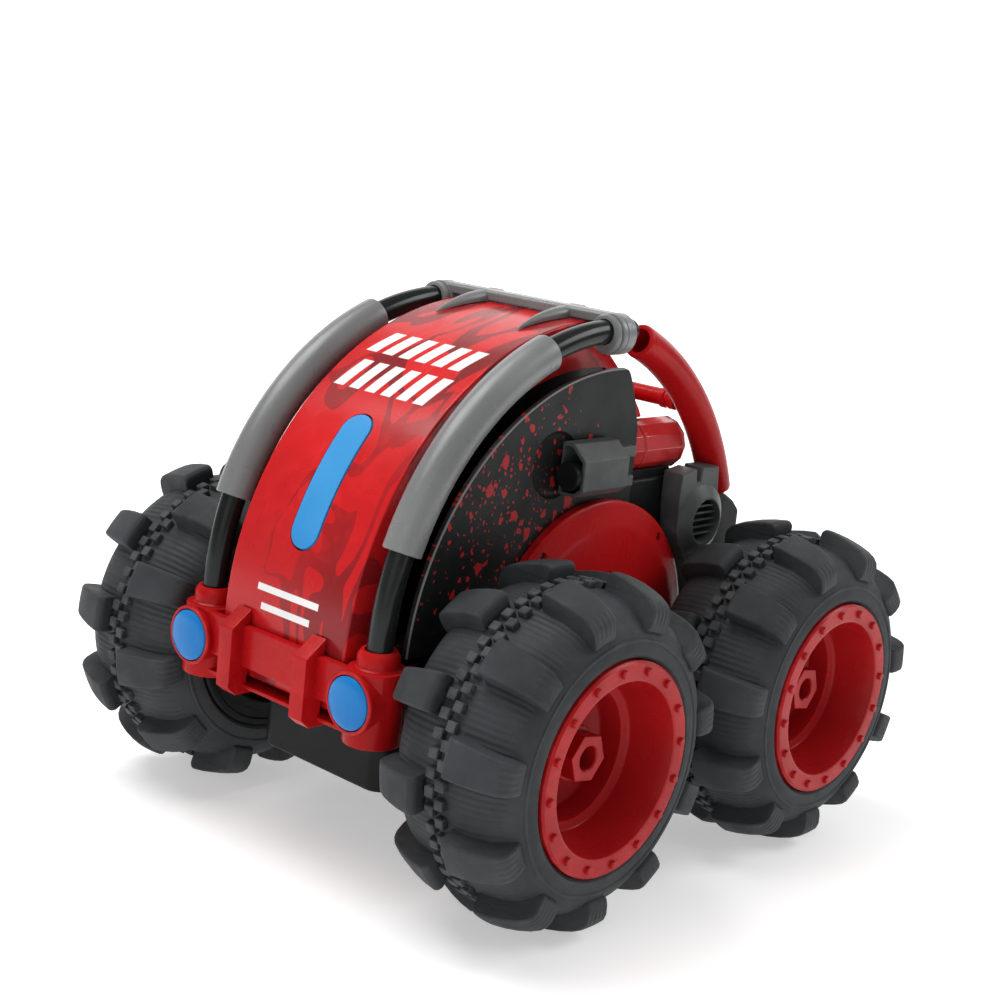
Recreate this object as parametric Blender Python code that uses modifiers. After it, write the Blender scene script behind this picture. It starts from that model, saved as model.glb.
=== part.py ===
"""Remote-controlled amphibious stunt car with four wheels, at its real size.

The scene is in metres with +Z up. The car's front faces -Y and its left side is +X. The origin is on
the ground, under the middle of the wheelbase. Every size in this script is in millimetres, and the
functions that make meshes convert it once, with MM.
"""

import math

import bmesh
import bpy
from mathutils import Matrix, Vector

MM = 0.001
GAP = 0.3

# Wheels: two on each side, all the same.
WHEELBASE = 108.0
AXLE_Z = 50.0
TYRE_RADIUS = 50.0
TYRE_MID_X = 67.25
TYRE_HALF_WIDTH = 22.25
TYRE_BORE_RADIUS = 26.8
TYRE_WALL = 3.5
CARCASS_RADIUS = 44.5
SHOULDER_RADIUS = 39.0
LUGS_PER_ROW = 11
LUG_WIDTH = 9.5
LUG_SHOULDER_DROP = 4.6
FLANGE_OUTER_X = 90.0
FLANGE_RADIUS = 30.0
FLANGE_INNER_RADIUS = 24.3
FLANGE_THICKNESS = 3.0
RIM_BARREL_RADIUS = 26.5
RIM_BARREL_BORE = 24.5
HUB_FACE_X = 79.9
HUB_RADIUS = 7.2
AXLE_RADIUS = 2.5
AXLE_SETBACK = 8.0

# Hull: tub, lid and the deck above it.
HULL_HALF_WIDTH = 26.0
HULL_FRONT_Y = -77.0
HULL_REAR_Y = 74.0
HULL_BOTTOM_Z = 25.5
HULL_TOP_Z = 61.8
HULL_WALL = 2.0
FLOOR_THICKNESS = 4.0
LID_BOTTOM_Z = 63.4
DECK_BOTTOM_Z = 69.0
DECK_TOP_Z = 72.0
DECK_HALF_WIDTH = 33.7
DECK_FRONT_Y = -80.0
BAY_FRONT_Y = 10.0
BAY_TOP_Z = 110.5

# Gearboxes: one against each side of the hull, driving both wheels of that side.
GEARBOX_IN_X = HULL_HALF_WIDTH + GAP
GEARBOX_OUT_X = 36.0
GEARBOX_HALF_HEIGHT = 18.5
GEARBOX_WALL = 1.7
GEAR_MODULE = 1.5
WHEEL_TEETH = 16
IDLER_TEETH = 20
PINION_TEETH = 8
INNER_GEARS_X = (26.8, 29.3)
OUTER_GEARS_X = (29.9, 33.4)
GEAR_PIN_RADIUS = 1.5

# Central shell, side plates and roll tubes: arcs seen from the side, as (y, z) centre and radius.
SHELL_CENTRE = (-1.5, 65.8)
SHELL_RADIUS = 92.85
SHELL_HALF_WIDTH = 25.2
SHELL_WALL = 2.2
SHELL_FRONT_BOTTOM_Z = 52.0
SHELL_REAR_Y = BAY_FRONT_Y - 0.5
PLATE_RADIUS = 80.2
PLATE_X = (34.0, 36.0)
DISH_CENTRE = (-28.0, 119.0)
TUBE_X = 34.5
TUBE_CENTRE = (-4.9, 71.3)
TUBE_ARC_RADIUS = 85.7
TUBE_RADIUS = 3.6
SLEEVE_ANGLES = (19.1, 69.3)
SLEEVE_RADIUS = 5.5
HOOP_CENTRE = (-23.4, 74.0)
HOOP_ARC_RADIUS = 85.2
HOOP_ANGLES = (110.4, 159.0)
HOOP_RADIUS = 5.25
STRIPE_ANGLES = (16.5, 43.1)
STRIPE_WIDTH = 11.4

# Front bumper.
POST_X = 34.2
POST_Y = -90.4
LAMP_X = 33.5
LAMP_Z = 59.8
LAMP_FRONT_Y = -99.8
LAMP_RADIUS = 8.6
BRACKET_X = (12.7, 18.2)

# Engine dressing on each side of the deck.
BARREL_X = 24.8
BARREL_Z = 119.2
BARREL_RADIUS = 8.3
COVER_CENTRE = (-6.0, 62.0)
COVER_RADIUS = 45.0
VENT_CENTRE = (40.1, 97.2)

SIDES = (("left", 1), ("right", -1))
ENDS = (("front", -1), ("rear", 1))

for old_object in list(bpy.data.objects):
    bpy.data.objects.remove(old_object)

parts = bpy.data.collections.new("rc_stunt_car")
cutters = bpy.data.collections.new("cutters")
for collection in (parts, cutters):
    bpy.context.scene.collection.children.link(collection)


# ---------------------------------------------------------------- materials


def plastic(name, colour, roughness, metallic=0.0):
    """A Principled material, in the scene's list under its own name."""
    made = bpy.data.materials.new(name)
    made.use_nodes = True
    shader = made.node_tree.nodes["Principled BSDF"]
    shader.inputs["Base Color"].default_value = (*colour, 1.0)
    shader.inputs["Roughness"].default_value = roughness
    shader.inputs["Metallic"].default_value = metallic
    return made


RED = plastic("red_plastic", (0.52, 0.02, 0.025), 0.3)
BLACK = plastic("black_plastic", (0.018, 0.02, 0.02), 0.4)
GREY = plastic("grey_plastic", (0.16, 0.16, 0.165), 0.45)
DARK_GREY = plastic("dark_grey_plastic", (0.07, 0.07, 0.075), 0.5)
RUBBER = plastic("tyre_rubber", (0.055, 0.058, 0.06), 0.8)
BLUE = plastic("blue_lens", (0.03, 0.25, 0.72), 0.15)
WHITE = plastic("white_nylon", (0.75, 0.74, 0.7), 0.5)
STEEL = plastic("steel", (0.6, 0.6, 0.62), 0.3, 1.0)
GREEN = plastic("green_board", (0.02, 0.2, 0.06), 0.5)
BATTERY = plastic("battery_wrap", (0.05, 0.12, 0.35), 0.4)
SEAL = plastic("seal_rubber", (0.35, 0.06, 0.04), 0.8)


# ---------------------------------------------------------------- shape tools


def add(name, mesh, material, collection=parts):
    """A new object for a mesh. Cutters are drawn as wire and stay out of the model."""
    made = bpy.data.objects.new(name, mesh)
    collection.objects.link(made)
    if collection is cutters:
        made.hide_render = True
        made.display_type = "WIRE"
    elif not mesh.materials:
        mesh.materials.append(material)
    return made


def frozen(source, material, collection=parts):
    """The object's evaluated shape as a plain, welded mesh object that replaces it."""
    bpy.context.view_layer.update()
    name = source.name
    graph = bpy.context.evaluated_depsgraph_get()
    mesh = bpy.data.meshes.new_from_object(source.evaluated_get(graph))
    welder = bmesh.new()
    welder.from_mesh(mesh)
    bmesh.ops.remove_doubles(welder, verts=welder.verts, dist=1e-6)
    bmesh.ops.recalc_face_normals(welder, faces=welder.faces)
    welder.to_mesh(mesh)
    welder.free()
    mesh.materials.clear()
    placed = source.matrix_world.copy()
    bpy.data.objects.remove(source)
    made = add(name, mesh, material, collection)
    made.name = name
    made.matrix_world = placed
    return made


def slab(name, outlines, axis, span, material, collection=parts):
    """Flat outlines in the plane across an axis, thickened over a span of it. Later outlines are holes."""
    curve = bpy.data.curves.new(name, "CURVE")
    curve.dimensions = "2D"
    curve.fill_mode = "BOTH"
    curve.extrude = abs(span[1] - span[0]) / 2 * MM
    for outline in outlines:
        spline = curve.splines.new("POLY")
        spline.points.add(len(outline) - 1)
        for point, (across, up) in zip(spline.points, outline):
            point.co = (across * MM, up * MM, 0.0, 1.0)
        spline.use_cyclic_u = True
    made = bpy.data.objects.new(name, curve)
    collection.objects.link(made)
    quarter = math.radians(90)
    middle = (span[0] + span[1]) / 2 * MM
    if axis == "X":
        made.rotation_euler = (quarter, 0.0, quarter)
        made.location.x = middle
    elif axis == "Y":
        made.rotation_euler = (quarter, 0.0, 0.0)
        made.location.y = middle
    else:
        made.location.z = middle
    return frozen(made, material, collection)


def box(name, low, high, material, collection=parts):
    """A block between two corners."""
    shape = bmesh.new()
    size = [upper - lower for lower, upper in zip(low, high)]
    centre = [(upper + lower) / 2 for lower, upper in zip(low, high)]
    place = Matrix.Translation(Vector(centre) * MM) @ Matrix.Diagonal((*(Vector(size) * MM), 1.0))
    bmesh.ops.create_cube(shape, size=1.0, matrix=place)
    mesh = bpy.data.meshes.new(name)
    shape.to_mesh(mesh)
    shape.free()
    return add(name, mesh, material, collection)


def rod(name, start, end, radii, material, collection=parts, segments=16):
    """A round bar or cone between two points, with its radius at each."""
    along = (Vector(end) - Vector(start)) * MM
    turn = Vector((0, 0, 1)).rotation_difference(along).to_matrix().to_4x4()
    place = Matrix.Translation((Vector(start) + Vector(end)) / 2 * MM) @ turn
    shape = bmesh.new()
    bmesh.ops.create_cone(
        shape, cap_ends=True, segments=segments, radius1=radii[0] * MM, radius2=radii[1] * MM,
        depth=along.length, matrix=place)
    mesh = bpy.data.meshes.new(name)
    shape.to_mesh(mesh)
    shape.free()
    mesh.shade_smooth()
    mesh.set_sharp_from_angle(angle=math.radians(40))
    return add(name, mesh, material, collection)


def turned(name, profile, place, side, segments, material):
    """A closed profile of (radius, distance outwards) turned about a line along X, facing a side."""
    shape = bmesh.new()
    corners = [shape.verts.new((radius * MM, 0.0, out * MM)) for radius, out in profile]
    for corner, following in zip(corners, corners[1:] + corners[:1]):
        shape.edges.new((corner, following))
    mesh = bpy.data.meshes.new(name)
    shape.to_mesh(mesh)
    shape.free()
    made = add(name, mesh, material)
    made.location = Vector(place) * MM
    made.rotation_euler = (0.0, math.radians(90) * side, 0.0)
    screw = made.modifiers.new("turn", "SCREW")
    screw.steps = segments
    screw.render_steps = segments
    screw.use_merge_vertices = True
    screw.merge_threshold = 1e-6
    return made


def tube(name, x, centre, arc_radius, angles, radius, material, collection=parts, sides=2):
    """A round bar bent to an arc in the plane at x."""
    count = max(4, round(abs(angles[1] - angles[0]) / 6))
    curve = bpy.data.curves.new(name, "CURVE")
    curve.dimensions = "3D"
    curve.bevel_depth = radius * MM
    curve.bevel_resolution = sides
    curve.use_fill_caps = True
    spline = curve.splines.new("POLY")
    spline.points.add(count)
    for point, (y, z) in zip(spline.points, arc(centre, arc_radius, *angles, count)):
        point.co = (x * MM, y * MM, z * MM, 1.0)
    made = bpy.data.objects.new(name, curve)
    collection.objects.link(made)
    return frozen(made, material, collection)


def arc(centre, radius, start, end, steps):
    """Points (y, z) on an arc. Angles are in degrees, from the front horizon up and over to the rear."""
    points = []
    for step in range(steps + 1):
        angle = math.radians(start + (end - start) * step / steps)
        points.append((centre[0] - radius * math.cos(angle), centre[1] + radius * math.sin(angle)))
    return points


def rounded(low, high, radius, steps=3):
    """A rectangle between two corners of a plane, with its corners rounded."""
    points = []
    corners = ((low[0], low[1], 0), (low[0], high[1], 90), (high[0], high[1], 180), (high[0], low[1], 270))
    for across, up, turn in corners:
        inwards = 1 if across == low[0] else -1
        upwards = 1 if up == low[1] else -1
        centre = (across + inwards * radius, up + upwards * radius)
        points += arc(centre, radius, turn - 90, turn, steps)
    return points


def apply(target, tool, operation):
    """Leaves a Boolean on the target. A shape that is joined on becomes a helper."""
    if operation == "UNION":
        parts.objects.unlink(tool)
        cutters.objects.link(tool)
        tool.hide_render = True
        tool.display_type = "WIRE"
    change = target.modifiers.new(tool.name, "BOOLEAN")
    change.operation = operation
    change.object = tool
    change.solver = "EXACT"


def cut(target, *tools):
    for tool in tools:
        apply(target, tool, "DIFFERENCE")


def join(target, *tools):
    for tool in tools:
        apply(target, tool, "UNION")


def mirrored(points, side):
    """Outline points of (x, z) moved to the given side."""
    return [(across * side, up) for across, up in points]


# ---------------------------------------------------------------- wheels


def tyre_mesh():
    """A hollow carcass, open towards the rim, with two staggered rows of lugs, turned about its own Z.
    A lug of the outer row points along +X of the mesh, which is straight down on the car."""
    side_wall = TYRE_HALF_WIDTH - 0.25
    bead = FLANGE_OUTER_X - FLANGE_THICKNESS - GAP - TYRE_MID_X
    half = [(CARCASS_RADIUS, 0.0), (SHOULDER_RADIUS, side_wall - 1.5), (FLANGE_RADIUS + GAP, side_wall)]
    half += [(FLANGE_RADIUS + GAP, bead), (TYRE_BORE_RADIUS, bead)]
    inside = [(TYRE_BORE_RADIUS, bead - TYRE_WALL)]
    inside.append((SHOULDER_RADIUS - TYRE_WALL, side_wall - TYRE_WALL - 1.5))
    profile = half[::-1] + [(radius, -out) for radius, out in half[1:]]
    profile += [(radius, -out) for radius, out in inside]
    profile += [(CARCASS_RADIUS - TYRE_WALL, 0.0)] + inside[::-1]
    carcass = turned("carcass", profile, (0, 0, 0), 0, 3 * LUGS_PER_ROW, RUBBER)

    lugs = bmesh.new()
    pitch = 2 * math.pi / LUGS_PER_ROW
    # The foot of a lug ends inside the carcass wall.
    middle_foot = CARCASS_RADIUS - 2.0
    shoulder_foot = SHOULDER_RADIUS - 2.0
    for row in (1, -1):
        for number in range(LUGS_PER_ROW):
            angle = pitch * (number if row == 1 else number + 0.5)
            lug = bmesh.ops.create_cube(lugs, size=1.0)["verts"]
            for corner in lug:
                at_shoulder = corner.co.z > 0
                if corner.co.x > 0:
                    radius = TYRE_RADIUS - (LUG_SHOULDER_DROP if at_shoulder else 0.0)
                else:
                    radius = shoulder_foot if at_shoulder else middle_foot
                out = (TYRE_HALF_WIDTH if at_shoulder else 1.0) * row
                place = Vector((radius, corner.co.y * LUG_WIDTH, out)) * MM
                corner.co = Matrix.Rotation(angle, 3, "Z") @ place
    bmesh.ops.recalc_face_normals(lugs, faces=lugs.faces)
    mesh = bpy.data.meshes.new("lugs")
    lugs.to_mesh(mesh)
    lugs.free()
    join(carcass, add("lugs", mesh, RUBBER))
    shape = frozen(carcass, RUBBER)
    mesh = shape.data
    bpy.data.objects.remove(shape)
    return mesh


def wheel(name, x_side, y, tread):
    """Tyre, outer rim half with its hub, and black inner rim half."""
    place = (0, y, AXLE_Z)
    tyre = add("tyre_" + name, tread, RUBBER)
    tyre.location = Vector((TYRE_MID_X * x_side, y, AXLE_Z)) * MM
    tyre.rotation_euler = (0.0, math.radians(90) * x_side, 0.0)

    flange_in = FLANGE_OUTER_X - FLANGE_THICKNESS
    dish_floor = 68.0
    hub_inner_end = 58.0
    web_back = 66.0
    barrel_end = 48.0
    bore = AXLE_RADIUS + GAP
    rim_profile = [
        (FLANGE_INNER_RADIUS, FLANGE_OUTER_X), (FLANGE_RADIUS, FLANGE_OUTER_X),
        (FLANGE_RADIUS, flange_in), (RIM_BARREL_RADIUS, flange_in), (RIM_BARREL_RADIUS, barrel_end),
        (RIM_BARREL_BORE, barrel_end), (RIM_BARREL_BORE, web_back), (HUB_RADIUS, web_back),
        (HUB_RADIUS, hub_inner_end), (bore, hub_inner_end), (bore, HUB_FACE_X),
        (HUB_RADIUS, HUB_FACE_X), (HUB_RADIUS, dish_floor), (19.5, dish_floor), (20.5, 76.0)]
    turned("rim_" + name, rim_profile, place, x_side, 20, RED)

    ring_out = barrel_end - GAP
    ring_in = TYRE_MID_X - TYRE_HALF_WIDTH
    opening = 22.0
    spigot = RIM_BARREL_BORE - GAP
    ring_profile = [
        (opening, ring_out + 6), (spigot, ring_out + 6), (spigot, ring_out), (FLANGE_RADIUS, ring_out),
        (FLANGE_RADIUS, ring_in), (opening, ring_in)]
    turned("rim_back_" + name, ring_profile, place, x_side, 20, BLACK)


# ---------------------------------------------------------------- gears


def gear_outline(teeth, tooth_at, centre):
    """Outline of a spur gear in (y, z). One tooth is centred at the angle tooth_at, in degrees."""
    pitch_radius = GEAR_MODULE * teeth / 2
    tip = pitch_radius + 0.8 * GEAR_MODULE
    root = pitch_radius - 1.6 * GEAR_MODULE
    half_tip_angle = 0.4 / tip
    points = []
    for tooth in range(teeth):
        middle = math.radians(tooth_at) + 2 * math.pi * tooth / teeth
        for radius, angle in ((tip, middle - half_tip_angle), (tip, middle + half_tip_angle),
                              (root, middle + math.pi / teeth)):
            points.append((centre[0] + radius * math.cos(angle), centre[1] + radius * math.sin(angle)))
    return points


def circle(centre, radius, count=8):
    return arc(centre, radius, 0, 360 - 360 / count, count - 1)


def span_on(side, span):
    """A span of x moved to the given side."""
    return tuple(sorted(side * x for x in span))


def gear_train(side_name, side):
    """Wheel axles, idlers, compound centre gear and motor pinion of one side, in mesh at rest.

    Returns the place along Y of the motor, which is different on the two sides."""
    outer = span_on(side, OUTER_GEARS_X)
    inner = span_on(side, INNER_GEARS_X)
    half_base = WHEELBASE / 2
    wheel_radius = GEAR_MODULE * WHEEL_TEETH / 2
    idler_radius = GEAR_MODULE * IDLER_TEETH / 2
    pinion_radius = GEAR_MODULE * PINION_TEETH / 2
    pin_hole = GEAR_PIN_RADIUS + GAP
    for end_name, end in ENDS:
        axle_y = half_base * end
        axle = rod(
            f"axle_{end_name}_{side_name}", (side * (INNER_GEARS_X[0] + 1), axle_y, AXLE_Z),
            (side * (HUB_FACE_X - AXLE_SETBACK), axle_y, AXLE_Z), (AXLE_RADIUS, AXLE_RADIUS), STEEL)
        teeth = slab(f"axle_teeth_{end_name}_{side_name}", [gear_outline(WHEEL_TEETH, 0, (axle_y, AXLE_Z))],
                     "X", outer, WHITE)
        join(axle, teeth)
        idler_y = axle_y - end * (wheel_radius + idler_radius)
        centre = (idler_y, AXLE_Z)
        slab(f"idler_{end_name}_{side_name}",
             [gear_outline(IDLER_TEETH, 180 / IDLER_TEETH, centre), circle(centre, pin_hole)],
             "X", outer, WHITE)

    middle = (0.0, AXLE_Z)
    centre_gear = slab(f"centre_gear_{side_name}",
                       [gear_outline(WHEEL_TEETH, 0, middle), circle(middle, pin_hole)], "X", outer, WHITE)
    step = (INNER_GEARS_X[0], OUTER_GEARS_X[0] + 1)
    large = slab(f"centre_gear_large_{side_name}",
                 [gear_outline(IDLER_TEETH, 0, middle), circle(middle, pin_hole)], "X", inner, WHITE)
    collar = slab(f"centre_gear_collar_{side_name}", [circle(middle, 6.0), circle(middle, pin_hole)],
                  "X", span_on(side, step), WHITE)
    join(centre_gear, collar, large)

    pinion_y = side * (idler_radius + pinion_radius)
    pinion = rod(f"pinion_{side_name}", (side * 21.5, pinion_y, AXLE_Z),
                 (side * INNER_GEARS_X[1], pinion_y, AXLE_Z), (1.0, 1.0), STEEL, segments=12)
    pinion_teeth = slab(f"pinion_teeth_{side_name}",
                        [gear_outline(PINION_TEETH, 180 / PINION_TEETH, (pinion_y, AXLE_Z))],
                        "X", inner, WHITE)
    join(pinion, pinion_teeth)

    motor_radius = 10.0
    can = arc((pinion_y, AXLE_Z), motor_radius, -48, 48, 6)
    can += arc((pinion_y, AXLE_Z), motor_radius, 132, 228, 6)
    motor = slab(f"motor_{side_name}", [can], "X", span_on(side, (-1.5, 23.0)), STEEL)
    cut(motor, rod(f"motor_bore_{side_name}", (side * 20.5, pinion_y, AXLE_Z),
                   (side * 24.0, pinion_y, AXLE_Z), (1.4, 1.4), STEEL, cutters, 12))
    return pinion_y


def stadium(half_length, radius, steps=8):
    """An outline with round ends, long in Y and centred on the axle line."""
    front = arc((-half_length, AXLE_Z), radius, -90, 90, steps)
    return front + arc((half_length, AXLE_Z), radius, 90, 270, steps)


def gearbox(side_name, side):
    """Tray-shaped housing, open towards the hull, with the pins that the gears turn on."""
    half_base = WHEELBASE / 2
    wall_x = OUTER_GEARS_X[1] + 0.5
    housing = slab(f"gearbox_housing_{side_name}", [stadium(half_base, GEARBOX_HALF_HEIGHT)], "X",
                   span_on(side, (GEARBOX_IN_X, GEARBOX_OUT_X)), BLACK)
    cut(housing, slab(f"gearbox_hollow_{side_name}", [stadium(half_base, GEARBOX_HALF_HEIGHT - GEARBOX_WALL)],
                      "X", span_on(side, (GEARBOX_IN_X - 1, wall_x)), BLACK, cutters))
    idler_y = half_base - GEAR_MODULE * (WHEEL_TEETH + IDLER_TEETH) / 2
    for y in (-idler_y, 0.0, idler_y):
        reach = INNER_GEARS_X[0] if y == 0.0 else OUTER_GEARS_X[0]
        join(housing, rod(f"gear_pin_{side_name}_{y:.0f}", (side * (wall_x + 1), y, AXLE_Z),
                          (side * reach, y, AXLE_Z), (GEAR_PIN_RADIUS, GEAR_PIN_RADIUS), BLACK, segments=12))
    for end_name, end in ENDS:
        y = half_base * end
        join(housing, rod(f"axle_boss_{end_name}_{side_name}", (side * (wall_x + 0.5), y, AXLE_Z),
                          (side * 43.5, y, AXLE_Z), (4.2, 4.2), BLACK, segments=16))
        bore = AXLE_RADIUS + GAP
        cut(housing, rod(f"axle_bore_{end_name}_{side_name}", (side * (wall_x - 1), y, AXLE_Z),
                         (side * 45.0, y, AXLE_Z), (bore, bore), BLACK, cutters, 16))


# ---------------------------------------------------------------- hull


def hull_outline(inset):
    """Plan of the hull, drawn in by the inset on every side."""
    low = (-HULL_HALF_WIDTH + inset, HULL_FRONT_Y + inset)
    high = (HULL_HALF_WIDTH - inset, HULL_REAR_Y - inset)
    return rounded(low, high, 6.0 - min(inset, 4.0))


def hull(pinion_places):
    """Tub with the battery bay, its sliding cover and the power switch, and the seal under the lid."""
    tub = slab("chassis_tub", [hull_outline(0)], "Z", (HULL_BOTTOM_Z, HULL_TOP_Z), BLACK)
    floor_z = HULL_BOTTOM_Z + FLOOR_THICKNESS
    cut(tub, slab("tub_hollow", [hull_outline(HULL_WALL)], "Z", (floor_z, HULL_TOP_Z + 1), BLACK, cutters))
    travel = 20.0
    bay = (40.0, 50.0)
    groove_z = (HULL_BOTTOM_Z + 1.0, HULL_BOTTOM_Z + 2.4)
    cover = (bay[0] / 2 + 2.7, bay[1] / 2 + 2.7)
    cut(tub,
        box("bay_opening", (-bay[0] / 2, -bay[1] / 2, HULL_BOTTOM_Z - 1),
            (bay[0] / 2, bay[1] / 2, floor_z + 1), BLACK, cutters),
        box("cover_groove", (-cover[0] - GAP, -cover[1] - GAP, groove_z[0]),
            (cover[0] + GAP, cover[1] + travel + GAP, groove_z[1]), BLACK, cutters),
        box("cover_mouth", (-cover[0] + 1.2, -cover[1] - GAP, HULL_BOTTOM_Z - 1),
            (cover[0] - 1.2, cover[1] + travel + GAP, groove_z[0] + 0.2), BLACK, cutters))
    battery_cover = box("battery_cover", (-cover[0], -cover[1], groove_z[0] + GAP),
                        (cover[0], cover[1], groove_z[1] - GAP), BLACK)
    join(battery_cover, box("cover_face", (-cover[0] + 1.5, -cover[1], HULL_BOTTOM_Z + 0.1),
                            (cover[0] - 1.5, cover[1], groove_z[0] + 0.5), BLACK))

    switch_y = -50.0
    switch_travel = 4.0
    cut(tub, box("switch_slot", (-2.5, switch_y - 3.0, HULL_BOTTOM_Z - 1),
                 (2.5, switch_y + 3.0 + switch_travel, floor_z + 1), BLACK, cutters))
    knob = box("power_switch", (-2.2, switch_y - 2.5, HULL_BOTTOM_Z + 0.5),
               (2.2, switch_y + 2.5, floor_z + 0.5), RED)
    join(knob, box("switch_base", (-4.5, switch_y - 4.5, floor_z + GAP),
                   (4.5, switch_y + 4.5, floor_z + 2.0), RED))

    for side, pinion_y in pinion_places:
        cut(tub, rod(f"shaft_hole_{side}", (side * 23.5, pinion_y, AXLE_Z), (side * 27.0, pinion_y, AXLE_Z),
                     (2.0, 2.0), BLACK, cutters, 12))
    board_z = 57.0
    for x in (-18.0, 18.0):
        for y in (-68.0, -36.5):
            join(tub, rod(f"board_post_{x:.0f}_{y:.0f}", (x, y, floor_z - 1), (x, y, board_z - GAP),
                          (2.0, 2.0), BLACK, segments=8))
    board = box("circuit_board", (-20.0, -72.0, board_z), (20.0, -33.0, board_z + 1.6), GREEN)
    for low, high in (((-12, -62), (-2, -52)), ((4, -66), (12, -60)), ((2, -48), (14, -40))):
        join(board, box(f"chip_{low[0]}", (*low, board_z + 1), (*high, board_z + 3.4), GREEN))

    slab("battery_pack", [rounded((-18.0, -23.0), (18.0, 23.0), 4.0)], "Z", (floor_z + GAP, 41.8), BATTERY)
    slab("hull_seal", [hull_outline(0.4), hull_outline(1.6)], "Z",
         (HULL_TOP_Z + GAP, LID_BOTTOM_Z - GAP), SEAL)


def bay_outline(inset):
    """Side view of the engine bay that stands on the rear of the deck."""
    return [(BAY_FRONT_Y + inset, DECK_BOTTOM_Z + inset), (BAY_FRONT_Y + inset, BAY_TOP_Z - inset),
            (42.0, BAY_TOP_Z - inset), (61.0, 103.8 - inset), (70.0 - inset / 2, 99.0 - inset),
            (HULL_REAR_Y - inset, 95.5 - inset), (HULL_REAR_Y - inset, DECK_BOTTOM_Z + inset)]


def hoop_socket(name, side):
    """Cutter for the foot of a rear hoop, a gap wider than the hoop all round."""
    start, end = HOOP_ANGLES
    return tube(name, side * TUBE_X, HOOP_CENTRE, HOOP_ARC_RADIUS, (start, end + 0.5),
                HOOP_RADIUS + GAP + 0.2, BLACK, cutters)


def upper_body():
    """Hull lid, deck and engine bay, moulded as one shell that is open below."""
    body = slab("upper_body", [hull_outline(0)], "Z", (LID_BOTTOM_Z, DECK_BOTTOM_Z + 1), BLACK)
    deck_low = (-DECK_HALF_WIDTH, DECK_FRONT_Y)
    deck_high = (DECK_HALF_WIDTH, HULL_REAR_Y)
    join(body,
         slab("deck", [rounded(deck_low, deck_high, 4.0)], "Z", (DECK_BOTTOM_Z, DECK_TOP_Z), BLACK),
         slab("engine_bay", [bay_outline(0)], "X", (-DECK_HALF_WIDTH, DECK_HALF_WIDTH), BLACK))
    inside = DECK_HALF_WIDTH - 2.5
    cut(body,
        slab("lid_hollow", [hull_outline(2.2)], "Z", (LID_BOTTOM_Z - 1, DECK_TOP_Z - 2.2), BLACK, cutters),
        slab("bay_hollow", [bay_outline(2.5)], "X", (-inside, inside), BLACK, cutters),
        box("bay_floor_opening", (-22.0, BAY_FRONT_Y + 4, DECK_BOTTOM_Z - 1),
            (22.0, HULL_REAR_Y - 4, DECK_TOP_Z + 1), BLACK, cutters))
    for side_name, side in SIDES:
        cradle = box(f"barrel_cradle_{side_name}", (side * BARREL_X - 7, 14.0, BAY_TOP_Z - 2),
                     (side * BARREL_X + 7, 34.0, BAY_TOP_Z + 2.5), BLACK)
        join(body, cradle)
        clear = BARREL_RADIUS + GAP
        cut(body,
            rod(f"barrel_clearance_{side_name}", (side * BARREL_X, 5.0, BARREL_Z),
                (side * BARREL_X, 45.0, BARREL_Z), (clear, clear), BLACK, cutters),
            hoop_socket(f"hoop_socket_{side_name}", side))


# ---------------------------------------------------------------- bodywork


def centre_shell():
    """Arched red cover over the middle of the car, with a capsule-shaped window for the light strip.

    Its tail hangs over the engine barrels."""
    tail_z = BARREL_Z + BARREL_RADIUS + GAP
    front = math.degrees(math.asin((SHELL_FRONT_BOTTOM_Z - SHELL_CENTRE[1]) / SHELL_RADIUS))
    outline = arc(SHELL_CENTRE, SHELL_RADIUS, front, 91.5, 30)
    outline += [(5.7, 148.2), (14.0, 140.8), (21.5, 133.3), (25.3, tail_z), (SHELL_REAR_Y, tail_z)]
    outline += [(SHELL_REAR_Y, DECK_TOP_Z + GAP), (DECK_FRONT_Y - GAP, DECK_TOP_Z + GAP)]
    outline.append((DECK_FRONT_Y - GAP, SHELL_FRONT_BOTTOM_Z))
    shell = slab("centre_shell", [outline], "X", (-SHELL_HALF_WIDTH, SHELL_HALF_WIDTH), RED)
    inner = arc(SHELL_CENTRE, SHELL_RADIUS - SHELL_WALL, front - 8, 90, 30)
    inner_y = SHELL_REAR_Y - SHELL_WALL
    inner_z = tail_z + SHELL_WALL
    inner += [(3.6, 147.2), (12.4, 139.2), (19.6, 132.2), (21.2, inner_z), (inner_y, inner_z)]
    inner.append((inner_y, 40.0))
    reach = SHELL_HALF_WIDTH - SHELL_WALL
    cut(shell, slab("shell_hollow", [inner], "X", (-reach, reach), RED, cutters))

    middle_angle = sum(STRIPE_ANGLES) / 2
    half_length = SHELL_RADIUS * math.sin(math.radians(STRIPE_ANGLES[1] - STRIPE_ANGLES[0]) / 2)
    cut(shell, stripe_block("stripe_window", middle_angle, half_length, STRIPE_WIDTH / 2))
    band = arc(SHELL_CENTRE, SHELL_RADIUS + 0.3, STRIPE_ANGLES[0] - 3, STRIPE_ANGLES[1] + 3, 12)
    band += arc(SHELL_CENTRE, SHELL_RADIUS - 3.0, STRIPE_ANGLES[1] + 3, STRIPE_ANGLES[0] - 3, 12)
    lens = slab("stripe_lens", [band], "X", (-STRIPE_WIDTH, STRIPE_WIDTH), BLUE)
    trim = stripe_block("stripe_trim", middle_angle, half_length - GAP, STRIPE_WIDTH / 2 - GAP)
    apply(lens, trim, "INTERSECT")


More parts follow.
